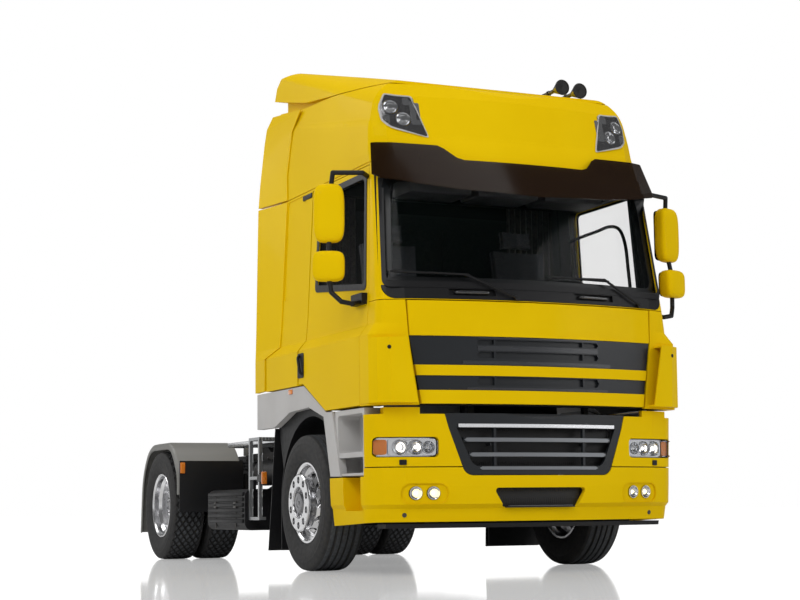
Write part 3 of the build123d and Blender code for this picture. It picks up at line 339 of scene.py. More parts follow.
RUBBER.grain(500, 0.0004, 0.6)
HEADLIGHT = glow("headlight_glow", (1.0, 0.97, 0.90), 2.2)
FOGLIGHT = glow("foglight_glow", (1.0, 0.84, 0.42), 2.2)
GUARD = Shader("mudguard_plastic", (0.19, 0.188, 0.175), 0.42)
GUARD.vary_rough(20, 0.36, 0.5).grain(400, 0.0003, 0.5)
MESH = Shader("black_mesh", (0.006, 0.006, 0.007), 0.6).chequer(60, 0.004)
SLAT = Shader("grey_slat", (0.028, 0.030, 0.034), 0.28, 0.2).vary_rough(40, 0.22, 0.34, (0.05, 1, 1))

NODE_LOOKS = {
    PAINT: "cab_shell corner_panels front_lid roof_cap roof_deflector side_collars door_left door_right "
           "front_bumper headlamp_panels mirrors_left mirrors_right",
    GLASS: "windscreen door_glass_left door_glass_right",
    BLACK: "wiper_cowl front_mudguards rear_mudguards battery_box underrun_bar mirror_arms_left "
           "mirror_arms_right rear_lamps",
    SMOKED: "sun_visor",
    LENS: "roof_lamps front_lamps",
    HORN: "air_horns",
    CABIN: "dashboard steering_wheel",
    CLOTH: "seats bunk",
    GRILLE: "lower_grille upper_grille",
    GREY: "step_wells wheel_arch_panels",
    CHASSIS: "chassis_frame front_axle springs rear_axle propeller_shaft air_tanks fifth_wheel_base "
             "steering_knuckle_left steering_knuckle_right track_rod",
    CASTING: "engine_block",
    RADIATOR: "cooling_pack",
    ALUMINIUM: "fuel_tank exhaust_silencer",
    TREAD_PLATE: "catwalk",
    STEEL: "fifth_wheel_plate",
    CHROME: "front_rim_left front_rim_right rear_rims_left rear_rims_right",
    RUBBER: "front_tyre_left front_tyre_right rear_tyres_left rear_tyres_right",
}


def dress_nodes():
    for shader, names in NODE_LOOKS.items():
        for name in names.split():
            node = NODES[name]
            node.data.materials.clear()
            look = lined_enamel(node) if name in LINED_NODES else shader
            node.data.materials.append(look.material)


FLOOR_HALF = 120
FLOOR_GLOW = 0.30


def make_stage():
    mesh = bpy.data.meshes.new("floor")
    corners = [(x * FLOOR_HALF, y * FLOOR_HALF, 0) for x, y in ((-1, -1), (1, -1), (1, 1), (-1, 1))]
    mesh.from_pydata(corners, [], [(0, 1, 2, 3)])
    floor = link_object("floor", mesh)
    look = Shader("studio_floor", (0.85, 0.85, 0.85), 0.06, Specular_IOR_Level=0.5,
                  Emission_Color=(1, 1, 1, 1))
    seen = look.node("ShaderNodeLightPath").outputs["Is Camera Ray"]
    look.link(look.calc("MULTIPLY", seen, FLOOR_GLOW), look.bsdf.inputs["Emission Strength"])
    mesh.materials.append(look.material)


# ---------------------------------------------------------------- mesh helpers


def ring(radius, count, turn=0.0):
    """(u, v) points round a circle, the first one turned by that share of their spacing."""
    angles = (2 * math.pi * (k + turn) / count for k in range(count))
    return [(radius * math.cos(a), radius * math.sin(a)) for a in angles]


def circle(u, v, radius, sides=32):
    return [(u + a, v + b) for a, b in ring(radius, sides)]


def rectangle(u, v):
    return [(u[0], v[0]), (u[1], v[0]), (u[1], v[1]), (u[0], v[1])]


def mirrored(span, side):
    return [side * value for value in span]


def bend(start, corner, end, steps):
    """Points from start to end round a corner."""
    for k in range(steps + 1):
        t = k / steps
        yield (1 - t) ** 2 * start + 2 * t * (1 - t) * corner + t ** 2 * end


def cut_corner(back, corner, ahead, radius, steps):
    """A corner rounded by that radius, or less where its legs are short."""
    back, ahead = back - corner, ahead - corner
    cut = min(radius, back.length * 0.48, ahead.length * 0.48)
    return bend(corner + back.normalized() * cut, corner, corner + ahead.normalized() * cut, steps)


def rounded(points, radius, steps=5):
    """A closed outline with its corners rounded."""
    points = [Vector(point) for point in points]
    following = points[1:] + points[:1]
    return [tuple(point) for i, corner in enumerate(points)
            for point in cut_corner(points[i - 1], corner, following[i], radius, steps)]


def inset_outline(points, amount):
    """An outline drawn in towards its middle by about that much."""
    middle = sum((Vector(p) for p in points), Vector((0, 0))) / len(points)
    return [tuple(Vector(p) + (middle - Vector(p)).normalized() * amount) for p in points]


def smooth_route(points, steps=6):
    """Points of a Catmull-Rom line through the given points."""
    points = [Vector(p) for p in points]
    points = [2 * points[0] - points[1], *points, 2 * points[-1] - points[-2]]
    line = []
    for a, b, c, d in zip(points, points[1:], points[2:], points[3:]):
        for k in range(steps):
            t = k / steps
            line.append(0.5 * ((2 * b) + (c - a) * t + (2 * a - 5 * b + 4 * c - d) * t ** 2
                               + (3 * b - a - 3 * c + d) * t ** 3))
    return [*line, points[-2]]


def route_at(points):
    """A smooth route through points given with Y from the front axle."""
    return smooth_route([at(*point) for point in points])


class Draft:
    """A piece's mesh while it is drawn; done() makes it an object that rides on a body."""

    def __init__(self):
        self.bm = bmesh.new()

    def verts(self, points):
        return [self.bm.verts.new(point) for point in points]

    def take(self, part):
        """Adds another mesh, which is used up."""
        mesh = bpy.data.meshes.new("part")
        part.to_mesh(mesh)
        part.free()
        self.bm.from_mesh(mesh)
        bpy.data.meshes.remove(mesh)
        return self

    def weave(self, rows, closed=False):
        """Faces between rows of vertices; a row of one vertex is a tip."""
        for one, two in zip(rows, rows[1:]):
            count = max(len(one), len(two))
            for k in range(count if closed else count - 1):
                n = (k + 1) % count
                corners = (one[k % len(one)], one[n % len(one)], two[n % len(two)], two[k % len(two)])
                self.bm.faces.new(list(dict.fromkeys(corners)))
        return self

    def hoop(self, centre, axis, radius, sides):
        """Vertices round an axis, or one where the radius is nought."""
        if not radius:
            return self.verts([centre])
        side = axis.cross(Vector((0, 0, 1)))
        if side.length < 0.1:
            side = axis.cross(Vector((1, 0, 0)))
        side.normalize()
        up = side.cross(axis)
        return self.verts(centre + u * side + v * up for u, v in ring(radius, sides))

    def turned(self, profile, centre, axis=AHEAD, sides=48):
        """A turned shape: (along, radius) points round an axis through centre."""
        axis = Vector(axis).normalized()
        hoops = [self.hoop(centre + axis * along, axis, radius, sides) for along, radius in profile]
        return self.weave(hoops, True)

    def tube(self, points, radius, sides=12):
        """A round bar with flat ends through points in the frame."""
        rows = []
        for back, point, ahead in zip([points[0], *points], points, [*points[1:], points[-1]]):
            rows.append(self.hoop(point, (ahead - back).normalized(), radius, sides))
        self.bm.faces.new(rows[0])
        self.bm.faces.new(rows[-1])
        return self.weave(rows, True)

    def block(self, x, y, z, bevel=0.004):
        """A box with rounded edges over spans of x, y from the front axle, and z."""
        low, high = at(min(x), min(y), min(z)), at(max(x), max(y), max(z))
        middle, size = (low + high) / 2, high - low
        made = bmesh.ops.create_cube(self.bm, size=1)["verts"]
        for vert in made:
            vert.co = middle + Vector(a * b for a, b in zip(vert.co, size))
        edges = {edge for vert in made for edge in vert.link_edges}
        bmesh.ops.bevel(self.bm, geom=list(edges), offset=min(bevel, min(size) * 0.4), segments=2,
                        profile=0.5, affect="EDGES")
        return self

    def box(self, middle, half, bevel=0.004):
        """A block by its middle, with y from the front axle, and its half sizes."""
        return self.block(*((m - h, m + h) for m, h in zip(middle, half)), bevel)

    def sheet(self, loops, place, thick, step=None, out=AHEAD):
        """A sheet with holes: flat loops of (u, v), cut every step, each point put in the frame by
        place(u, v), then thickened towards out."""
        curve = bpy.data.curves.new("outline", "CURVE")
        curve.dimensions = "2D"
        curve.fill_mode = "BOTH"
        for loop in loops:
            spline = curve.splines.new("POLY")
            spline.points.add(len(loop) - 1)
            for point, (u, v) in zip(spline.points, loop):
                point.co = (u, v, 0, 1)
            spline.use_cyclic_u = True
        carrier = bpy.data.objects.new("outline", curve)
        mesh = bpy.data.meshes.new_from_object(carrier)
        bpy.data.objects.remove(carrier)
        bpy.data.curves.remove(curve)
        part = bmesh.new()
        part.from_mesh(mesh)
        bpy.data.meshes.remove(mesh)
        bmesh.ops.remove_doubles(part, verts=part.verts, dist=1e-6)
        for axis in (0, 1) if step else ():
            normal = Vector((1 - axis, axis, 0))
            low, high = (pick(vert.co[axis] for vert in part.verts) for pick in (min, max))
            for k in range(1, int((high - low) / step)):
                bmesh.ops.bisect_plane(part, geom=part.verts[:] + part.edges[:] + part.faces[:],
                                       plane_co=normal * (low + k * step), plane_no=normal, dist=1e-6)
        for vert in part.verts:
            vert.co = place(vert.co.x, vert.co.y)
        raised = bmesh.ops.extrude_face_region(part, geom=part.faces[:], use_keep_orig=True)
        for vert in raised["geom"]:
            if isinstance(vert, bmesh.types.BMVert):
                vert.co += Vector(out) * thick
        return self.take(part)

    def done(self, name, look, body, slot, smooth=30):
        """A mesh object with one look, riding on a body, smooth up to that angle in degrees."""
        bmesh.ops.recalc_face_normals(self.bm, faces=self.bm.faces)
        mesh = bpy.data.meshes.new(name)
        self.bm.to_mesh(mesh)
        self.bm.free()
        mesh.materials.append(look.material)
        piece = link_object(name, mesh)
        mesh.shade_smooth()
        mesh.set_sharp_from_angle(angle=math.radians(smooth))
        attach(piece, body)
        return piece


def tree_of(*names):
    """A search tree of CAD nodes' surfaces, in the frame."""
    bm = bmesh.new()
    for name in names:
        copy = NODES[name].data.copy()
        copy.transform(NODES[name].matrix_world)
        bm.from_mesh(copy)
        bpy.data.meshes.remove(copy)
    tree = BVHTree.FromBMesh(bm)
    bm.free()
    return tree


def on_front(tree, gap=0.0):
    """place(x, z) on the front surface, that far ahead of it."""
    def place(x, z):
        point, normal, _, _ = tree.ray_cast(Vector((x, -6, z)), Vector((0, 1, 0)))
        if point is None:
            nearest = tree.find_nearest(at(x, -1.3, z))[0]
            return Vector((x, nearest.y - gap, z))
        return point + (normal if normal.y < 0 else -normal) * gap
    return place


def behind(place, depth):
    """place(x, z) moved back by that depth."""
    return lambda x, z: place(x, z) + Vector((0, depth, 0))


def facing(place, x, z, reach=0.02):
    """The outward normal of a place(x, z) surface at a point."""
    across = place(x + reach, z) - place(x - reach, z)
    up = place(x, z + reach) - place(x, z - reach)
    normal = across.cross(up).normalized()
    return normal if normal.y < 0 else -normal


def upright(y):
    """place(x, z) on the plane across the truck at y from the front axle."""
    return lambda x, z: at(x, y, z)


# ---------------------------------------------------------------- wheels and tyres

TYRE_R = 0.505
FRONT_TRACK = 1.079
TWIN_X = (1.088, 0.738)
# Half of a tyre's section: distance from its middle plane, radius
SIDEWALL = [
    (0.112, 0.290), (0.122, 0.296), (0.133, 0.312), (0.137, 0.316), (0.136, 0.320), (0.146, 0.345),
    (0.153, 0.372), (0.1565, 0.398), (0.1570, 0.402), (0.1565, 0.420), (0.1545, 0.436), (0.1555, 0.439),
    (0.1540, 0.443), (0.1500, 0.460), (0.1490, 0.463), (0.1460, 0.474), (0.1420, 0.486), (0.1330, 0.496),
]
CROWN, CROWN_DROP = 0.122, 0.004
# Cells of the tread round the tyre and across it
AROUND, CELLS = 288, 32
RIB_GROOVES = (6, 7, 13, 19, 25, 26)
BLOCK_PERIOD = 8
FRONT_NUTS_R, REAR_NUTS_R = 0.1675, 0.150
# Nut cover of a front wheel: its face's distance from the wheel's middle plane and its two radii
COVER_X, COVER_R, COVER_HOLE_R = 0.192, 0.205, 0.118


def add_tyre(draft, centre, side, depth):
    """A tyre whose outboard side faces side * X. depth(i, j) is how deep a tread point lies. Faces off the
    grooves take the tyre's second material: lighter lug-top rubber, partly worn rubber and partly painted
    highlight.
    """
    first = len(SIDEWALL)
    tread = [-CROWN + 2 * CROWN * j / CELLS for j in range(CELLS + 1)]
    section = [(-x, r) for x, r in SIDEWALL]
    section += [(x, TYRE_R - CROWN_DROP * (abs(x) / CROWN) ** 2) for x in tread]
    section += SIDEWALL[::-1]
    rows = []
    for i in range(AROUND):
        angle = 2 * math.pi * i / AROUND
        row = []
        for j, (x, radius) in enumerate(section, -first):
            radius -= depth(i, j) if 0 <= j <= CELLS else 0
            row.append(centre + Vector((side * x, radius * math.sin(angle), -radius * math.cos(angle))))
        rows.append(draft.verts(row))
    rows.append(rows[0])
    draft.weave([row[:first + 1] for row in rows])
    draft.weave([row[first + CELLS:] for row in rows])
    for i in range(AROUND):
        for j in range(CELLS):
            a, b, c, d = (i, j), (i + 1, j), (i + 1, j + 1), (i, j + 1)
            for corners in ((a, b, d), (b, c, d)) if (i + j) % 2 else ((a, b, c), (a, c, d)):
                face = draft.bm.faces.new([rows[k][first + m] for k, m in corners])
                # Faces off the grooves take the lighter lug-top rubber (wear and painted highlight); groove
                # faces keep the darker rubber
                face.material_index = int(not any(depth(*corner) for corner in corners))


def rib_depth(_, j):
    """Grooves round a steering tyre."""
    return 0.012 if j in RIB_GROOVES else (0.003 if j in (0, CELLS) else 0.0)


def block_depth(i, j):
    """Crossed diagonal grooves of a drive tyre."""
    if (i + j) % BLOCK_PERIOD == 0 or (i - j) % BLOCK_PERIOD == 0:
        return 0.013
    return 0.004 if j in (0, CELLS) else 0.0


def add_nuts(draft, x, y, side, count, radius, size, length):
    """A ring of nuts with domed ends."""
    nut = [(0, size), (length * 0.72, size), (length * 0.9, size * 0.72), (length, size * 0.35), (length, 0)]
    for u, v in ring(radius, count, 0.5):
        draft.turned(nut, at(x, y + u, HUB_Z + v), (side, 0, 0), 6)


def make_wheels(side, hand):
    out = (side, 0, 0)
    front, rear = f"front_wheel_{hand}", f"rear_wheels_{hand}"
    draft = Draft()
    add_tyre(draft, at(side * FRONT_TRACK, 0, HUB_Z), side, rib_depth)
    tyre = draft.done(f"steer_tyre_{hand}", RUBBER, front, "tyre_rubber", 28)
    # Second material: the lug tops' lighter rubber, partly wear and partly painted highlight
    tyre.data.materials.append(TREAD_WEAR_AND_HIGHLIGHT.material)
    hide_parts(f"front_tyre_{hand}")
    draft = Draft()
    for x in TWIN_X:
        add_tyre(draft, at(side * x, WHEELBASE, HUB_Z), side, block_depth)
    tyres = draft.done(f"drive_tyres_{hand}", RUBBER, rear, "tyre_rubber", 28)
    # Second material: the lug tops' lighter rubber, partly wear and partly painted highlight
    tyres.data.materials.append(TREAD_WEAR_AND_HIGHLIGHT.material)
    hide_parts(f"rear_tyres_{hand}")

    # Front nut cover: a raised ring with a hole round every nut, and its outer and inner edges
    holes = [circle(u, v, 0.026, 20) for u, v in ring(FRONT_NUTS_R, 10, 0.5)]
    face = lambda u, v: at(side * (FRONT_TRACK + COVER_X), u, HUB_Z + v)
    centre = at(side * FRONT_TRACK, 0, HUB_Z)
    skirt = [(0.128, 0.196), (0.150, 0.200), (0.176, 0.212), (0.186, 0.212), (0.192, 0.204)]
    cover = Draft().sheet([circle(0, 0, COVER_R, 72), circle(0, 0, COVER_HOLE_R, 48), *holes], face, 0.005,
                          out=(-side, 0, 0))
    cover.turned(skirt, centre, out, 72).turned([(0.191, 0.119), (0.180, 0.114), (0.128, 0.112)], centre, out)
    cover.done(f"nut_cover_front_{hand}", CHROME, front, "wheel_chrome")
    draft = Draft()
    add_nuts(draft, side * (FRONT_TRACK + 0.150), 0, side, 10, FRONT_NUTS_R, 0.0185, 0.048)
    draft.done(f"wheel_nuts_front_{hand}", DARK_CHROME, front, "wheel_chrome")
    cap = [(0.130, 0.110), (0.150, 0.106), (0.168, 0.092), (0.182, 0.078), (0.192, 0.070), (0.195, 0.040),
           (0.193, 0.036), (0.193, 0.018), (0.196, 0.015), (0.196, 0)]
    draft = Draft().turned(cap, centre, out)
    for u, v in ring(0.081, 6):
        spot = at(side * (FRONT_TRACK + 0.172), u, HUB_Z + v)
        draft.turned([(0, 0.008), (0.010, 0.008), (0.012, 0.005), (0.012, 0)], spot, out, 6)
    draft.done(f"hub_cap_front_{hand}", DARK_CHROME, front, "wheel_chrome")

    # Rear nuts on the dish of the outer rim, and bolts round the hub's end
    draft = Draft()
    hub_end = side * (sum(TWIN_X) / 2 + 0.218)
    add_nuts(draft, side * (TWIN_X[0] - 0.163), WHEELBASE, side, 10, REAR_NUTS_R, 0.0175, 0.052)
    add_nuts(draft, hub_end, WHEELBASE, side, 8, 0.072, 0.011, 0.012)
    draft.turned([(0, 0.050), (0.010, 0.048), (0.014, 0.040), (0.014, 0)],
                 at(hub_end, WHEELBASE, HUB_Z), out, 32)
    draft.done(f"wheel_nuts_rear_{hand}", DARK_CHROME, rear, "wheel_chrome")
    disc = at(side * TWIN_X[0], WHEELBASE, HUB_Z)
    draft = Draft().turned([(-0.162, 0.168), (-0.156, 0.166), (-0.156, 0.106), (-0.162, 0.104)], disc, out)
    draft.turned([(0.127, 0.298), (0.131, 0.294), (0.131, 0.288), (0.127, 0.285)], disc, out, 96)
    draft.done(f"rim_trim_rear_{hand}", CHROME, rear, "wheel_chrome")


# ---------------------------------------------------------------- lamps

HEADLAMP_X, HEADLAMP_Z = (0.763, 1.186), (0.806, 0.932)
MASK_X, MASK_Z = (0.769, 1.092), (0.812, 0.926)
INDICATOR_X, INDICATOR_Z = (1.100, 1.180), (0.818, 0.920)
# How far the housing's rim, the mask round the bowls and the back wall lie behind the cover
RIM_IN, MASK_IN, BACK_IN = 0.004, 0.022, 0.058
# Columns: distance from the centre plane, height, bowl radius, glow radius
BEAMS = [(0.822, 0.868, 0.043, 0.0), (0.908, 0.868, 0.052, 0.013), (1.012, 0.868, 0.054, 0.017)]
FOGS = [(0.794, 0.556, 0.041, 0.013), (0.915, 0.556, 0.041, 0.017)]
ROOF_LAMP = [(0.685, 3.078), (0.778, 3.400), (0.894, 3.407), (0.975, 3.418), (1.020, 3.310), (1.012, 3.200),
             (0.960, 3.150), (0.912, 3.134)]
ROOF_BEAMS = [(0.937, 3.310, 0.052), (0.857, 3.218, 0.052)]
# Rings of a roof lamp's bowl: along its axis, share of its radius
ROOF_BOWL = [(0.0005, 0.86), (0.002, 0.80), (0.0005, 0.60), (0.002, 0.54), (0.001, 0.40), (0.005, 0.34),
             (0.006, 0.18)]
# Facets between the roof lamp's bowls: distance from the centre plane, height, half width, half height
ROOF_FACETS = [(0.765, 3.262, 0.035, 0.085), (0.806, 3.357, 0.040, 0.030), (0.975, 3.215, 0.022, 0.035)]


def make_headlamps(tree, side, hand):
    skin = on_front(tree)
    rim, mask, back = (behind(skin, depth) for depth in (RIM_IN, MASK_IN, BACK_IN))
    flat = rounded(rectangle(mirrored(HEADLAMP_X, side), HEADLAMP_Z), 0.030)
    cover = Draft().sheet([flat], skin, 0.003, 0.03)
    cover = cover.done(f"headlamp_cover_{hand}", LENS, "chassis", "lamp_lens", 60)
    housing = Draft().sheet([flat], back, 0.002, 0.03)
    housing.weave([housing.verts(place(x, z) for x, z in flat) for place in (rim, back)], True)
    housing.done(f"headlamp_housing_{hand}", REFLECTOR, "chassis", "lamp_lens", 40)
    holes = [circle(side * x, z, radius + 0.002) for x, z, radius, _ in BEAMS]
    inner = rounded(rectangle(mirrored(MASK_X, side), MASK_Z), 0.024)
    draft = Draft().sheet([inner, *holes], mask, 0.002, 0.05)
    draft.done(f"headlamp_mask_{hand}", REFLECTOR, "chassis", "lamp_lens", 40)
    bowls, glows = Draft(), Draft()
    for x, z, radius, glow_radius in BEAMS:
        centre = mask(side * x, z)
        bowls.turned([(0.006, radius + 0.003), (0.006, radius), (0, radius * 0.98), (-0.014, radius * 0.86),
                      (-0.026, radius * 0.62), (-0.032, radius * 0.34), (-0.034, 0)], centre, sides=40)
        for share in (0.9, 0.74):
            bowls.turned([(0.001, radius * share), (0.003, radius * (share - 0.03)),
                          (0.001, radius * (share - 0.06))], centre, sides=40)
        if glow_radius:
            glows.turned([(-0.004, glow_radius), (0.004, glow_radius * 0.8), (0.009, glow_radius * 0.45),
                          (0.011, 0)], centre, sides=28)
        else:
            bowls.turned([(-0.030, 0.014), (-0.010, 0.014), (-0.004, 0.009), (-0.002, 0)], centre, sides=20)
    bowls.done(f"headlamp_bowls_{hand}", REFLECTOR, "chassis", "lamp_lens", 50)
    glows.done(f"headlamp_bulbs_{hand}", HEADLIGHT, "chassis", "lamp_lens", 60)
    amber = rounded(rectangle(mirrored(INDICATOR_X, side), INDICATOR_Z), 0.020)
    Draft().sheet([amber], mask, 0.006, 0.02).done(f"indicator_{hand}", AMBER, "chassis", "lamp_lens", 40)
    return cover


def make_fog_lamps(tree, side, hand):
    skin = on_front(tree)
    bowls, glows, lenses = Draft(), Draft(), Draft()
    for x, z, radius, glow_radius in FOGS:
        spot = skin(side * x, z), facing(skin, side * x, z)
        bowls.turned([(-0.002, radius + 0.004), (0.003, radius + 0.003), (0.003, radius),
                      (-0.006, radius * 0.9), (-0.020, radius * 0.62), (-0.026, 0.3 * radius),
                      (-0.027, 0)], *spot, 36)
        glows.turned([(-0.012, glow_radius), (-0.002, glow_radius * 0.75), (0.0, 0)], *spot, 28)
        lenses.turned([(0.001, radius), (0.004, radius * 0.7), (0.006, radius * 0.35), (0.0065, 0)],
                      *spot, 36)
    bowls.done(f"fog_lamp_bowls_{hand}", REFLECTOR, "chassis", "lamp_lens", 50)
    glows.done(f"fog_lamp_bulbs_{hand}", FOGLIGHT, "chassis", "lamp_lens", 60)
    lenses.done(f"fog_lamp_lenses_{hand}", LENS, "chassis", "lamp_lens", 60)


def make_roof_lamps(tree, side, hand):
    skin = on_front(tree)
    outline = rounded([(side * x, z) for x, z in ROOF_LAMP], 0.022, 4)
    holes = [circle(side * x, z, radius + 0.003) for x, z, radius in ROOF_BEAMS]
    bed = Draft().sheet([inset_outline(outline, 0.012), *holes], on_front(tree, -0.0005), 0.003, 0.05)
    bed.done(f"roof_lamp_bed_{hand}", LAMP_BEZEL, "cab", "lamp_lens", 40)
    lamp_frame = Draft().sheet([outline, inset_outline(outline, 0.013)], on_front(tree, 0.001), 0.004, 0.05)
    lamp_frame.done(f"roof_lamp_frame_{hand}", GREY, "cab", "lamp_lens", 40)
    bowls = Draft()
    for x, z, radius in ROOF_BEAMS:
        rings = [(0.000, radius + 0.004), (0.004, radius + 0.003), (0.004, radius - 0.002),
                 *((along, radius * share) for along, share in ROOF_BOWL), (0.006, 0)]
        bowls.turned(rings, skin(side * x, z), facing(skin, side * x, z), 40)
    bowls.done(f"roof_lamp_bowls_{hand}", REFLECTOR, "cab", "lamp_lens")
    facets = Draft()
    for x, z, u, v in ROOF_FACETS:
        facet = rounded(rectangle((side * x - u, side * x + u), (z - v, z + v)), 0.012)
        facets.sheet([facet], on_front(tree, 0.0015), 0.002, 0.03)
    facets.done(f"roof_lamp_facets_{hand}", REFLECTOR, "cab", "lamp_lens")
    cover = Draft().sheet([inset_outline(outline, 0.008)], on_front(tree, 0.0065), 0.0015, 0.04)
    return cover.done(f"roof_lamp_cover_{hand}", LENS, "cab", "lamp_lens", 50)


def make_lamps():
    lamp_tree = tree_of("front_lamps")
    roof_tree = tree_of("roof_lamps", "roof_cap")
    for side, hand in SIDES:
        make_headlamps(lamp_tree, side, hand)
        make_fog_lamps(lamp_tree, side, hand)
        make_roof_lamps(roof_tree, side, hand)
    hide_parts("front_lamps")
    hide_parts("roof_lamps")


# ---------------------------------------------------------------- front trim

# Columns: height, half length, bar height
GRILLE_BARS = [(0.919, 0.578, 0.027), (0.817, 0.541, 0.027), (0.724, 0.470, 0.022)]
BRIGHT_BAR = (1.016, 0.620, 0.024)
UPPER_SLATS = [(1.269, 0.560, 0.016), (1.449, 0.590, 0.026), (1.550, 0.480, 0.034), (1.622, 0.480, 0.010)]
# Distance from the centre plane and height
TOW_PLUG = (0.976, 0.408)
VANE_SCREW = (1.133, 1.544)
WASHER_CAP_X, WASHER_CAP_Z = (0.982, 1.028), (0.747, 0.783)
FOG_RECESS_X, FOG_RECESS_Z = (0.690, 1.020), (0.479, 0.624)
HORN_MOUTHS = [(0.708, 3.700), (0.866, 3.686)]
HORN_MOUTH_Y = -0.600


def slat(z, half, high):
    return rounded(rectangle((-half, half), (z - high / 2, z + high / 2)), 0.004, 2)


def pointed_bar(z, half, high, point=0.02):
    low, high, inner = z - high / 2, z + high / 2, half - point
    return [(-inner, low), (inner, low), (half, z), (inner, high), (-inner, high), (-half, z)]


def make_bumper_trim(side, hand):
    bumper = tree_of("front_bumper")
    skin = on_front(bumper)
    x, z = side * TOW_PLUG[0], TOW_PLUG[1]
    plug = Draft().turned([(0.0, 0.016), (0.003, 0.0155), (0.004, 0.012), (0.001, 0.010), (0.001, 0.006),
                           (0.003, 0.005), (0.003, 0)], skin(x, z), facing(skin, x, z), 24)
    plug.done(f"tow_plug_{hand}", STEEL, "chassis", "black_trim")
    cap = rounded(rectangle(mirrored(WASHER_CAP_X, side), WASHER_CAP_Z), 0.006, 3)
    draft = Draft().sheet([cap], on_front(tree_of("headlamp_panels"), 0.001), 0.007, 0.03)
    draft.done(f"washer_cap_{hand}", BLACK, "chassis", "black_trim")
    outline = rounded(rectangle(mirrored(FOG_RECESS_X, side), FOG_RECESS_Z), 0.062, 8)
    edge = Draft().sheet([outline, inset_outline(outline, 0.004)], on_front(bumper, 0.0003), 0.0015, 0.05)
    edge.done(f"fog_recess_edge_{hand}", PAINT, "chassis", "cab_paint", 40)


def make_front_trim():
    lower = tree_of("lower_grille")
    draft = Draft().sheet([slat(*BRIGHT_BAR)], on_front(lower, 0.001), 0.006, 0.08)
    draft.done("grille_bright_bar", BRIGHT, "chassis", "grille_plastic", 40)
    draft = Draft()
    for bar in GRILLE_BARS:
        draft.sheet([pointed_bar(*bar)], on_front(lower, 0.0005), 0.003, 0.08)
    draft.done("grille_bars", SATIN, "chassis", "grille_plastic", 40)
    draft = Draft().block((-0.60, 0.60), (-1.335, -1.330), (0.700, 1.010), 0.001)
    draft.done("grille_mesh", MESH, "chassis", "radiator")
    draft = Draft().block((-0.33, 0.33), (-1.372, -1.368), (0.452, 0.600), 0.001)
    draft.block((-0.27, 0.27), (-1.415, -1.378), (0.452, 0.462), 0.002)
    draft.done("bumper_slot_mesh", MESH, "chassis", "black_trim")
    draft = Draft()
    for k in range(36):
        x = -0.245 + 0.014 * k
        draft.block((x, x + 0.007), (-1.417, -1.384), (0.462, 0.467), 0.001)
    draft.done("bumper_tread", SATIN, "chassis", "black_trim")
    for side, hand in SIDES:
        make_bumper_trim(side, hand)

    lid = tree_of("front_lid", "corner_panels", "upper_grille")
    skin = on_front(lid)
    draft = Draft()
    for bar in UPPER_SLATS:
        draft.sheet([slat(*bar)], on_front(lid, 0.0005), 0.0025, 0.08)
    draft.done("upper_slats", SLAT, "front_lid", "grille_plastic", 40)
    for side, hand in SIDES:
        x, z = side * VANE_SCREW[0], VANE_SCREW[1]
        screw = Draft().turned([(0.0, 0.014), (0.003, 0.013), (0.004, 0.009), (0.002, 0.007), (0.002, 0)],
                               skin(x, z), facing(skin, x, z), 20)
        screw.done(f"vane_screw_{hand}", BLACK, "cab", "black_trim")


def make_horn_mouths():
    lips, throats = Draft(), Draft()
    for x, z in HORN_MOUTHS:
        mouth = at(x, HORN_MOUTH_Y, z)
        lips.turned([(-0.006, 0.059), (0.003, 0.0625), (0.007, 0.061), (0.005, 0.056), (0.001, 0.055)], mouth)
        throats.turned([(0.0015, 0.0555), (0.0008, 0.030), (0.0030, 0.012), (0.0040, 0)], mouth)
        lips.turned([(-0.205, 0.017), (-0.205, 0.022), (-0.220, 0.022), (-0.220, 0.017)], mouth, sides=32)
    lips.done("horn_lips", HORN, "cab", "horn_metal", 40)
    throats.done("horn_throats", BLACK, "cab", "black_trim", 40)


# ---------------------------------------------------------------- screen, doors and mirrors

BELT_Z, SEAM_Z = 1.884, 2.890
# Cab front at the belt line and how much further back each part of it is at the roof seam
FRONT_CENTRE, FRONT_EDGE, FRONT_CORNER = (-1.450, 0.188), (-1.327, 0.177), (-1.255, 0.200)
FRONT_EDGE_X = 0.985
BELT_HALF, SEAM_HALF = 1.158, 1.108
SIDE_LEVELS = [(1.155, 1.232), (1.640, 1.232), (1.720, 1.172), (BELT_Z, BELT_HALF), (SEAM_Z, SEAM_HALF)]
# Outlines of the screen's printed edge and of its seal: half width and height at the foot, the same
# at the head, corner radius
FRIT_LOOPS = [((1.112, 2.002), (1.070, 2.792), 0.045), ((1.045, 2.045), (1.006, 2.735), 0.075)]
SEAL_LOOPS = [((1.128, 1.968), (1.086, 2.812), 0.06), ((1.100, 2.014), (1.058, 2.780), 0.04)]
WINDOW_EDGE = [(-1.046, 1.972), (-0.054, 2.072), (-0.054, 2.832), (-0.978, 2.832)]
WINDOW_PANE = [(-1.002, 2.020), (-0.100, 2.120), (-0.100, 2.786), (-0.944, 2.786)]
# Route of a door handle's bow: distance outside the door's plate, y, height
HANDLE_PLATE_X = 1.233
HANDLE = [(-0.001, 0.000, 1.455), (0.019, 0.010, 1.475), (0.021, 0.030, 1.530), (0.019, 0.050, 1.585),
          (-0.001, 0.060, 1.602)]
# Columns: name, centre, half sizes of the housing, depth of the glass behind the centre, width and
# height of the glass
MIRRORS = [("upper", (1.398, -0.956, 2.514), (0.110, 0.055, 0.209), 0.047, 0.178, 0.370),
           ("lower", (1.415, -0.985, 2.134), (0.115, 0.060, 0.1065), 0.051, 0.185, 0.172)]
MIRROR_YAW = math.radians(22)
PILLOW_POWER, PILLOW_CUTS, PILLOW_FLAT = 4.2, 9, 0.86


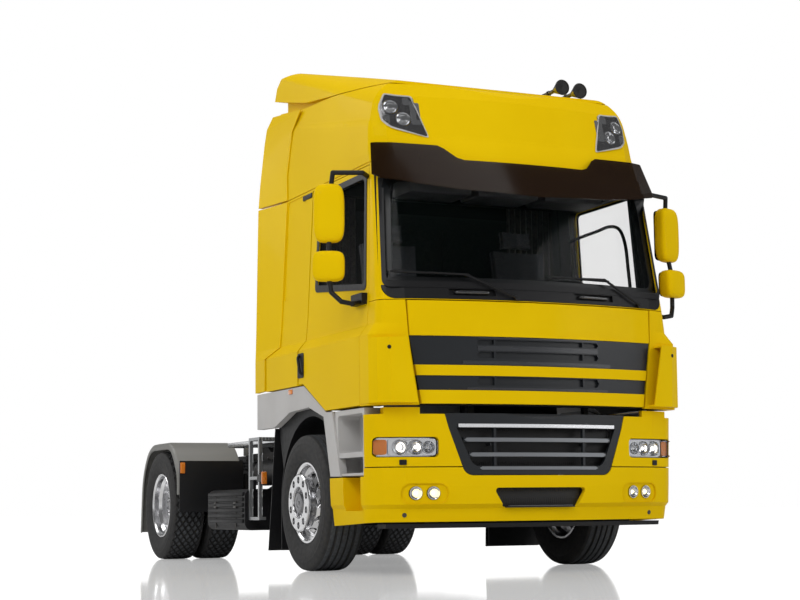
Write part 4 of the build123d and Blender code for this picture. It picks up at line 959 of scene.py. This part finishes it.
def cab_front_y(x, z):
    """Y of the cab's front skin at a height between the belt line and the roof seam."""
    share = (z - BELT_Z) / (SEAM_Z - BELT_Z)
    centre, edge, corner = (y + back * share for y, back in (FRONT_CENTRE, FRONT_EDGE, FRONT_CORNER))
    half = BELT_HALF + (SEAM_HALF - BELT_HALF) * share
    wide = abs(x)
    if wide <= FRONT_EDGE_X:
        return centre + (edge - centre) * (wide / FRONT_EDGE_X) ** 2
    return edge + (corner - edge) * min((wide - FRONT_EDGE_X) / (half - FRONT_EDGE_X), 1) ** 1.6


def side_half(z):
    """Half width of the cab's side wall at a height."""
    for (low, a), (high, b) in zip(SIDE_LEVELS, SIDE_LEVELS[1:]):
        if z <= high:
            return a + (b - a) * max(z - low, 0) / (high - low)
    return SEAM_HALF


def screen_loops(loops):
    return [rounded([(-low[0], low[1]), low, high, (-high[0], high[1])], radius)
            for low, high, radius in loops]


def add_pillow(draft, centre, turn, half):
    """A rounded housing with its rear cut flat for the glass."""
    part = bmesh.new()
    bmesh.ops.create_cube(part, size=2)
    bmesh.ops.subdivide_edges(part, edges=part.edges[:], cuts=PILLOW_CUTS, use_grid_fill=True)
    for vert in part.verts:
        norm = sum(abs(c) ** PILLOW_POWER for c in vert.co) ** (1 / PILLOW_POWER)
        point = Vector(a / norm * b for a, b in zip(vert.co, half))
        point.y = min(point.y, half[1] * PILLOW_FLAT)
        vert.co = centre + turn @ point
    draft.take(part)


def make_mirrors(side, hand):
    turn = Matrix.Rotation(MIRROR_YAW * side, 4, "Z")
    shells = Draft()
    for _, (x, y, z), size, *_ in MIRRORS:
        add_pillow(shells, at(side * x, y, z), turn, size)
    shells = shells.done(f"mirror_shells_{hand}", PAINT, f"door_{hand}", "cab_paint", 60)
    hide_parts(f"mirrors_{hand}")
    for name, (x, y, z), _, depth, width, height in MIRRORS:
        centre = at(side * x, y, z)
        for kind, look, grow, lift, slot in (("back", BLACK, 0.008, 0.0005, "black_trim"),
                                             ("glass", MIRROR, -0.008, 0.0045, "window_glass")):
            u, v = width / 2 + grow, height / 2 + grow
            place = lambda a, b: centre + turn @ Vector((a, depth + lift, b))
            draft = Draft().sheet([rounded(rectangle((-u, u), (-v, v)), 0.045)], place, 0.004,
                                  out=turn @ Vector((0, 1, 0)))
            draft.done(f"mirror_{name}_{kind}_{hand}", look, f"door_{hand}", slot)


def make_door_trim(side, hand):
    out = (side, 0, 0)
    wall = lambda y, z: at(side * (side_half(z) + 0.0015), y, z)
    draft = Draft().sheet([rounded(WINDOW_EDGE, 0.05), rounded(WINDOW_PANE, 0.045)], wall, 0.004, 0.2, out)
    draft.done(f"window_frame_{hand}", BLACK, f"door_{hand}", "black_trim", 40)
    plate = lambda y, z: at(side * HANDLE_PLATE_X, y, z)
    draft = Draft().sheet([rounded(rectangle((-0.024, 0.102), (1.433, 1.619)), 0.02)], plate, 0.004, out=out)
    draft.tube(route_at([(side * (HANDLE_PLATE_X + x), y, z) for x, y, z in HANDLE]), 0.011)
    draft.done(f"door_handle_{hand}", BLACK, f"door_{hand}", "black_trim", 40)


def make_screen_trim():
    """Black printed edge and seal of the windscreen, cowl handles, door window frames and mirrors."""
    draft = Draft().sheet(screen_loops(FRIT_LOOPS), on_front(tree_of("windscreen"), 0.0008), 0.0015, 0.10)
    draft.done("windscreen_edge", FRIT, "cab", "window_glass", 50)
    front = lambda x, z: at(x, cab_front_y(x, z) - 0.001, z)
    draft = Draft().sheet(screen_loops(SEAL_LOOPS), front, 0.003, 0.10)
    draft.done("windscreen_seal", BLACK, "cab", "black_trim", 50)
    cowl = on_front(tree_of("wiper_cowl"))
    draft = Draft()
    for x in (-0.505, 0.465):
        low, high = (cowl(x + d, 1.938) for d in (-0.125, 0.125))
        route = [low + Vector((u, v, 0)) for u, v in ((0, 0.004), (0.012, -0.022), (0.040, -0.030))]
        route += [high + Vector((u, v, 0)) for u, v in ((-0.040, -0.030), (-0.012, -0.022), (0, 0.004))]
        draft.tube(smooth_route(route), 0.012)
    draft.done("cowl_handles", HORN, "cab", "black_trim", 50)
    for side, hand in SIDES:
        make_door_trim(side, hand)
        make_mirrors(side, hand)


# ---------------------------------------------------------------- cabin

# Inner side wall: half width up to the belt line, and how much it draws in over a rise above it
CABIN_HALF, CABIN_TAPER, CABIN_RISE = 1.085, 0.045, 1.016
WALL_GAP = 0.001
# Outlines seen from the side: y, height
LINER_PANE = [(-1.021, 1.996), (-0.079, 2.099), (-0.079, 2.806), (-0.966, 2.806)]
DOOR_CARD = [(-1.060, 1.400), (0.090, 1.400), (0.090, 2.868), (-0.985, 2.868), (-1.060, BELT_Z)]
REAR_LINING_Y = 0.752
# Panels on the rear lining, lockers over the screen and dials: their middles across the cabin
PANELS_X, LOCKERS_X, DIALS_X = (-0.52, 0.0, 0.52), (-0.55, 0.0, 0.55), (-0.62, -0.40)
ARMREST_X = 1.02
CURTAIN_Y = 0.165
CURTAIN_SPANS = ((-1.02, -0.72), (0.60, 1.02))
CURTAIN_ROWS = (1.93, 2.1, 2.4, 2.7, 2.86)
CURTAIN_STITCH, CURTAIN_FOLD = 0.006, 0.052
GRAB_RAIL_X = 1.035
GRAB_RAIL = [(-0.085, 2.570), (-0.300, 2.584), (-0.531, 2.592), (-0.712, 2.600), (-0.857, 2.556),
             (-0.937, 2.426), (-0.970, 2.230), (-0.995, 2.060)]


def inner_wall(side):
    """place(y, z) just inside the cabin's side wall."""
    def place(y, z):
        half = CABIN_HALF - CABIN_TAPER * max(z - BELT_Z, 0) / CABIN_RISE
        return at(side * (half - WALL_GAP), y, z)
    return place


def make_curtain():
    """A drawn curtain behind the seats, gathered in folds."""
    rng = random.Random(7)
    draft = Draft()
    for low, high in CURTAIN_SPANS:
        count = int((high - low) / CURTAIN_STITCH)
        phases = [rng.uniform(-0.4, 0.4) for _ in CURTAIN_ROWS]
        rows = []
        for z, phase in zip(CURTAIN_ROWS, phases):
            line = []
            for k in range(count + 1):
                x = low + (high - low) * k / count
                fold = math.sin(2 * math.pi * (x / CURTAIN_FOLD) + phase) * (0.012 + 0.004 * math.sin(9 * x))
                line.append(at(x, CURTAIN_Y + fold, z))
            rows.append(draft.verts(line))
        draft.weave(rows)
    bmesh.ops.solidify(draft.bm, geom=draft.bm.faces[:], thickness=0.002)
    draft.done("bunk_curtain", CURTAIN, "cab", "seat_cloth", 50)
    rail = Draft().tube([at(x, CURTAIN_Y, 2.868) for x in (-1.03, 1.03)], 0.008, 10)
    rail.done("curtain_rail", BLACK, "cab", "black_trim", 40)


def make_cabin():
    for side, hand in SIDES:
        inwards = (-side, 0, 0)
        wall = inner_wall(side)
        draft = Draft().sheet([DOOR_CARD, rounded(LINER_PANE, 0.045)], wall, 0.004, 0.25, inwards)
        draft.box((side * ARMREST_X, -0.50, 1.73), (0.03, 0.30, 0.03), 0.02)
        draft.done(f"door_card_{hand}", CABIN, f"door_{hand}", "cabin_plastic")
        panel = rectangle((0.105, REAR_LINING_Y), (1.425, 2.885))
        draft = Draft().sheet([panel], wall, 0.004, 0.25, inwards)
        draft.done(f"sleeper_lining_{hand}", LINING, "cab", "cabin_plastic")
    panel = rounded(rectangle((-1.03, 1.03), (1.91, 2.87)), 0.05)
    draft = Draft().sheet([panel], upright(REAR_LINING_Y), 0.006)
    for x in PANELS_X:
        panel = rounded(rectangle((x - 0.22, x + 0.22), (2.15, 2.75)), 0.04)
        draft.sheet([panel], upright(REAR_LINING_Y - 0.008), 0.008)
    draft.done("rear_lining", LINING, "cab", "cabin_plastic")
    make_curtain()
    rail = Draft().tube(route_at([(GRAB_RAIL_X, y, z) for y, z in GRAB_RAIL]), 0.013)
    rail.done("door_grab_rail", BLACK, "cab", "black_trim", 60)
    draft = Draft()
    for x in LOCKERS_X:
        draft.block((x - 0.25, x + 0.25), (-1.02, -0.70), (2.700, 2.880), 0.02)
    draft.done("overhead_lockers", CABIN, "cab", "cabin_plastic")
    draft = Draft().block((0.24, 0.72), (-1.02, -0.93), (1.955, 2.035), 0.03)
    draft.block((-0.20, 0.20), (-0.99, -0.90), (1.68, 1.93), 0.02)
    for x in DIALS_X:
        draft.turned([(0, 0.042), (0.006, 0.040), (0.006, 0)], at(x, -0.962, 1.87), (0, 1, 0.3), 24)
    draft.done("instrument_binnacle", CABIN, "cab", "cabin_plastic")


SEAT_X = 0.56
BACKREST_FOOT = (-0.135, 1.905)
BACKREST_LEAN = Matrix.Rotation(math.radians(-8), 4, "X")
# Parts of a backrest over its foot: name, span across, depth, height, crown
BACKREST = [("back", (-0.235, 0.235), (-0.060, 0.050), (0.0, 0.570), 0.012),
            ("head", (-0.135, 0.135), (-0.040, 0.045), (0.585, 0.735), 0.008)]
CUSHION_EDGE, CUSHION_PULL = 0.62, 0.010


def cushion_point(unit, half, crown):
    """Where a point of the unit cube goes on a stuffed block of those half sizes."""
    radius = min(half) * CUSHION_EDGE
    full = Vector(a * b for a, b in zip(unit, half))
    corner = Vector(math.copysign(max(abs(a) - radius, 0), a) for a in full)
    point = full
    if max(abs(a) for a in unit) >= 0.999 and (full - corner).length > 1e-9:
        point = corner + (full - corner).normalized() * radius
    thin = min(range(3), key=lambda i: half[i])
    others = [i for i in range(3) if i != thin]
    swell = Vector((0, 0, 0))
    if abs(unit[thin]) > 0.2:
        dome = (1 - unit[others[0]] ** 2) * (1 - unit[others[1]] ** 2)
        swell[thin] = math.copysign(crown * dome, unit[thin])
    for i, along in (others, others[::-1]):
        if abs(unit[i]) > 0.85:
            swell[i] = -math.copysign(CUSHION_PULL * (1 - unit[along] ** 2), unit[i])
    return point + swell


def cushion(x, y, z, crown, steps=12, origin=at(0, 0, 0), turn=Matrix.Identity(4)):
    """A stuffed block over spans: faces crowned, edges rounded, sides drawn in between corners."""
    draft = Draft()
    low, high = (Vector(corner) for corner in zip(x, y, z))
    bmesh.ops.create_cube(draft.bm, size=2)
    bmesh.ops.subdivide_edges(draft.bm, edges=draft.bm.edges[:], cuts=steps, use_grid_fill=True)
    for vert in draft.bm.verts:
        point = (low + high) / 2 + cushion_point(vert.co.copy(), (high - low) / 2, crown)
        vert.co = origin + turn @ point
    return draft


def make_seats():
    for x, hand in ((SEAT_X, "left"), (-SEAT_X, "right")):
        draft = Draft().block((x - 0.19, x + 0.19), (-0.54, -0.12), (1.425, 1.80), 0.02)
        draft.done(f"seat_pedestal_{hand}", CABIN, "cab", "cabin_plastic")
        squab = cushion((x - 0.245, x + 0.245), (-0.565, -0.125), (1.800, 1.925), 0.012)
        squab.done(f"seat_squab_{hand}", CLOTH, "cab", "seat_cloth", 60)
        for name, across, depth, height, crown in BACKREST:
            draft = cushion(across, depth, height, crown, 12, at(x, *BACKREST_FOOT), BACKREST_LEAN)
            draft.done(f"seat_{name}_{hand}", CLOTH, "cab", "seat_cloth", 60)
    mattress = cushion((-1.015, 1.015), (0.195, 0.740), (1.785, 1.895), 0.010, 20)
    mattress.done("bunk_mattress", CLOTH, "cab", "seat_cloth", 60)
    draft = Draft().block((-1.03, 1.03), (0.20, 0.75), (1.425, 1.780), 0.01)
    base = draft.done("bunk_base", CABIN, "cab", "cabin_plastic")
    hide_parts("seats")
    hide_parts("bunk")


# ---------------------------------------------------------------- sides and chassis

# Lines along the frame rails: height, radius
FRAME_LINES = [(0.90, 0.010), (0.87, 0.008), (0.84, 0.012)]
# Marker lamps: distance from the centre plane, y, height
MARKERS = [(1.130, 1.150, 0.710), (1.205, WHEELBASE - 0.642, 0.840)]
TAIL_PIPE = [(0.84, 1.22, 0.52), (0.84, 1.27, 0.50), (0.90, 1.29, 0.46), (1.02, 1.285, 0.43)]
# Rubber flap under each wheel arch: outer edge, then y and height down the flap
ARCH_FLAPS = {-1: (1.195, [(0.700, 1.085), (0.735, 0.900), (0.795, 0.500), (0.862, 0.135)]),
              1: (1.150, [(0.690, 1.085), (0.700, 0.900), (0.720, 0.500), (0.740, 0.135)])}
FLAP_THICK = 0.010
# Flap ahead of each rear wheel: its middle, with y from the rear axle, and half sizes
WHEEL_FLAP, WHEEL_FLAP_HALF = (0.925, -0.635, 0.6725), (0.307, 0.005, 0.2325)
# Ribs of the battery box: number, foot of the lowest, spacing, height
RIB_COUNT, RIB_FOOT, RIB_PITCH, RIB_HIGH = 6, 0.345, 0.045, 0.034
# Bolts of a frame rail: distance from the centre plane, first y, spacing, number; heights of the rows
BOLT_X, BOLT_START, BOLT_PITCH, BOLT_COUNT = 0.431, -0.9, 0.205, 26
BOLT_ROWS = (0.745, 0.925)
STRAPS_Y, SEAMS_Z = (1.47, 2.00, 2.50), (0.46, 0.63, 0.80)


def make_battery_box():
    draft = Draft()
    for k in range(RIB_COUNT):
        z = RIB_FOOT + RIB_PITCH * k
        draft.block((-1.165, -0.60), (1.60, 2.53), (z, z + RIB_HIGH), 0.010)
    draft.done("battery_ribs", BLACK, "chassis", "black_trim", 40)
    draft = Draft()
    for y in (1.80, 2.33):
        draft.tube([at(-1.152, y, 0.30), at(-1.152, y, 0.60)], 0.006, 8)
        draft.block((-1.165, -1.150), (y - 0.03, y + 0.03), (0.47, 0.52))
    draft.done("battery_latches", STEEL, "chassis", "chassis_paint", 40)


def make_frame_details():
    """Air and electric lines along the frame rails, and the bolts of the rails."""
    lines, bolts = Draft(), Draft()
    for side in (-1, 1):
        for z, radius in FRAME_LINES:
            waver = [0.445 + 0.010 * math.sin(k * 1.7 + z * 30) for k in range(8)]
            route = [(side * x, 0.9 + 0.45 * k, z) for k, x in enumerate(waver)]
            lines.tube(route_at(route), radius, 8)
        for k in range(BOLT_COUNT):
            for z in BOLT_ROWS:
                bolts.turned([(0, 0.013), (0.007, 0.013), (0.009, 0.009), (0.009, 0)],
                             at(side * BOLT_X, BOLT_START + BOLT_PITCH * k, z), (side, 0, 0), 6)
    lines.done("frame_lines", BLACK, "chassis", "black_trim", 50)
    bolts.done("frame_bolts", STEEL, "chassis", "chassis_paint")


def make_tank_and_silencer():
    outline = rounded(rectangle((0.514, 1.156), (0.324, 0.936)), 0.096, 8)
    straps = Draft()
    for y in STRAPS_Y:
        straps.sheet([outline, inset_outline(outline, 0.008)], upright(y), 0.055)
    straps.done("fuel_tank_straps", BRIGHT, "chassis", "tank_aluminium", 40)
    cap = Draft().turned([(0, 0.062), (0.025, 0.062), (0.032, 0.055), (0.036, 0.040), (0.036, 0)],
                         at(1.02, 1.60, 0.925), (0.3, 0, 1), 32)
    cap.done("fuel_cap", BLACK, "chassis", "black_trim", 40)
    seams = Draft()
    for z in SEAMS_Z:
        seams.block((0.556, 1.124), (0.776, 1.234), (z - 0.008, z + 0.008), 0.05)
    seams.done("silencer_seams", STEEL, "chassis", "tank_aluminium", 40)
    pipe = Draft().tube(route_at(TAIL_PIPE), 0.045, 20)
    pipe.done("tail_pipe", STEEL, "chassis", "chassis_paint", 50)


def make_markers():
    lamps = Draft()
    for side in (-1, 1):
        for x, y, z in MARKERS:
            lamps.box((side * x, y, z), (0.022, 0.012, 0.050), 0.006)
    lamps.done("marker_lamps", AMBER, "chassis", "rear_lamp_lens", 40)
    brackets = Draft().block((-1.136, -1.124), (1.155, 1.310), (0.680, 0.740), 0.002)
    brackets.block((1.108, 1.124), (1.155, 1.240), (0.660, 0.760), 0.002)
    brackets.done("marker_brackets", CHASSIS, "chassis", "chassis_paint")


def make_flaps():
    """A rubber flap under the rear end of each wheel arch, and one ahead of each rear wheel."""
    draft = Draft()
    for side, (edge, line) in ARCH_FLAPS.items():
        front, back = ([draft.verts(at(side * x, y + shift, z) for x in (0.660, edge)) for y, z in line]
                       for shift in (0.0, FLAP_THICK))
        # One closed band round each pair of rows, and the two ends
        draft.weave([[*one, *two[::-1]] for one, two in zip(front, back)], True)
        for end in (0, -1):
            draft.bm.faces.new([*front[end], *back[end][::-1]])
        x, y, z = WHEEL_FLAP
        draft.box((side * x, WHEELBASE + y, z), WHEEL_FLAP_HALF, 0.002)
    draft.done("rubber_flaps", BLACK, "chassis", "black_trim")


def make_catwalk_strips():
    draft = Draft()
    for x in (-0.903, 0.903):
        draft.block((x - 0.006, x + 0.006), (1.13, 2.75), (1.012, 1.050), 0.003)
    for y in (1.128, 2.757):
        draft.block((-0.905, 0.905), (y - 0.005, y + 0.005), (1.012, 1.050), 0.003)
    for k in range(9):
        y = 1.27 + 0.17 * k
        draft.block((-0.88, 0.88), (y - 0.004, y + 0.004), (1.045, 1.049), 0.001)
    draft.done("catwalk_strips", BRIGHT, "chassis", "tank_aluminium")


REAR_LAMP_Y = WHEELBASE + 0.75
# Cells of a rear lamp: inner and outer edge, kind
REAR_CELLS = [(0.630, 0.745, "red"), (0.755, 0.855, "red"), (0.865, 0.905, "clear"), (0.915, 0.970, "amber")]
# Rear mudguard outline: distance behind the axle, height; its corners are rounded by MUDGUARD_BEND
MUDGUARD = [(-0.625, 0.600), (-0.618, 0.800), (-0.385, 1.088), (0.385, 1.088), (0.632, 0.800), (0.690, 0.247)]
MUDGUARD_BEND, MUDGUARD_THICK = 0.20, 0.010
# Across the guard: distance from the centre plane, drop below the crown, down its rounded edges
GUARD_SECTION = [(0.612, 0.055), (0.613, 0.022), (0.624, 0.004), (0.645, 0.0), (0.92, 0.0), (1.190, 0.0),
                 (1.218, 0.006), (1.232, 0.024), (1.236, 0.055)]
GUARD_MIDDLE = 0.925
# Arms that carry a guard: distance behind the axle, height; and where their feet stand
GUARD_ARMS = [(-0.200, 1.060), (0.400, 1.000)]
GUARD_FOOT_Z = 0.966


def make_rear_lamps():
    lenses = {kind: Draft() for kind in ("red", "amber", "clear")}
    frames = Draft()
    for side in (-1, 1):
        for low, high, kind in REAR_CELLS:
            depth = (REAR_LAMP_Y - 0.002, REAR_LAMP_Y + 0.006)
            lenses[kind].block((side * low, side * high), depth, (0.652, 0.768))
        low, high = sorted((side * 0.612, side * 0.988))
        loops = [rounded(rectangle((low, high), (0.632, 0.788)), 0.012, 3),
                 rounded(rectangle((low + 0.010, high - 0.010), (0.642, 0.778)), 0.008, 3)]
        frames.sheet(loops, upright(REAR_LAMP_Y - 0.004), 0.012)
    for (kind, draft), look in zip(lenses.items(), (RED, AMBER, CLEAR)):
        draft.done(f"rear_lenses_{kind}", look, "chassis", "rear_lamp_lens")
    frames.done("rear_lamp_frames", BLACK, "chassis", "black_trim")


def mudguard_line():
    """The outline with its corners bent round."""
    outline = [Vector(point) for point in MUDGUARD]
    line = outline[:1]
    for back, corner, ahead in zip(outline, outline[1:], outline[2:]):
        line += cut_corner(back, corner, ahead, MUDGUARD_BEND, 10)
    return line + outline[-1:]


def make_mudguards():
    line = mudguard_line()
    for side, hand in SIDES:
        draft = Draft()
        shells = []
        for thick, narrow in ((0.0, 0.0), (MUDGUARD_THICK, 0.025)):
            rows = []
            for back, (y, z), ahead in zip([line[0], *line], line, [*line[1:], line[-1]]):
                along = (ahead - back).normalized()
                rows.append(draft.verts(
                    at(side * (x + (GUARD_MIDDLE - x) * narrow), WHEELBASE + y + along.y * (drop + thick),
                       z - along.x * (drop + thick)) for x, drop in GUARD_SECTION))
            shells.append(rows)
        draft.weave([[*outer, *inner[::-1]] for outer, inner in zip(*shells)], True)
        for k in (0, -1):
            draft.weave([shells[0][k], shells[1][k]])
        for y, z in GUARD_ARMS:
            draft.tube([at(side * x, WHEELBASE + y, z) for x in (0.43, 0.72)], 0.022, 14)
            draft.block((side * 0.410, side * 0.460), (WHEELBASE + y - 0.03, WHEELBASE + y + 0.03),
                        (GUARD_FOOT_Z, z + 0.024), 0.006)
        draft.done(f"mudguard_{hand}", GUARD, "chassis", "black_trim", 40)
    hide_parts("rear_mudguards")


def make_cab_back():
    """Seams of the cab's rear wall and the engine's air intake."""
    draft = Draft()
    for x in (-0.70, 0.0, 0.70):
        draft.block((x - 0.012, x + 0.012), (0.822, 0.828), (1.50, 2.80), 0.003)
    draft.block((-0.95, 0.95), (0.822, 0.828), (2.10, 2.13), 0.003)
    draft.done("cab_back_ribs", PAINT, "cab", "cab_paint")
    draft = Draft().block((-0.98, -0.80), (0.835, 1.00), (1.45, 2.95), 0.03)
    for k in range(8):
        z = 2.50 + 0.05 * k
        draft.block((-0.985, -0.795), (0.85, 1.005), (z, z + 0.022))
    draft.done("air_intake", BLACK, "cab", "black_trim")


def make_side_details(side, hand):
    draft = Draft().block((side * 1.224, side * 1.236), (0.235, 0.305), (1.325, 1.361))
    draft.done(f"side_repeater_{hand}", AMBER, "cab", "rear_lamp_lens")
    draft = Draft().block((side * 1.105, side * 1.118), (0.100, 0.290), (2.830, 2.868))
    draft.done(f"roof_strap_{hand}", BLACK, "cab", "black_trim")
    draft = Draft()
    for z in (0.827, 0.692):
        draft.block((side * 1.060, side * 1.205), (-1.10, -0.67), (z, z + 0.008), 0.003)
    draft.done(f"step_treads_{hand}", TREAD_PLATE, "chassis", "tank_aluminium")


# ---------------------------------------------------------------- assembly

make_camera()
make_world()
make_stage()
make_lights()
dress_nodes()
for side, hand in SIDES:
    make_wheels(side, hand)
make_lamps()
make_front_trim()
make_screen_trim()
make_horn_mouths()
make_cabin()
make_seats()
make_battery_box()
make_frame_details()
make_tank_and_silencer()
make_markers()
make_flaps()
make_catwalk_strips()
make_rear_lamps()
make_mudguards()
make_cab_back()
for side, hand in SIDES:
    make_side_details(side, hand)

bpy.context.scene.view_settings.view_transform = "Standard"
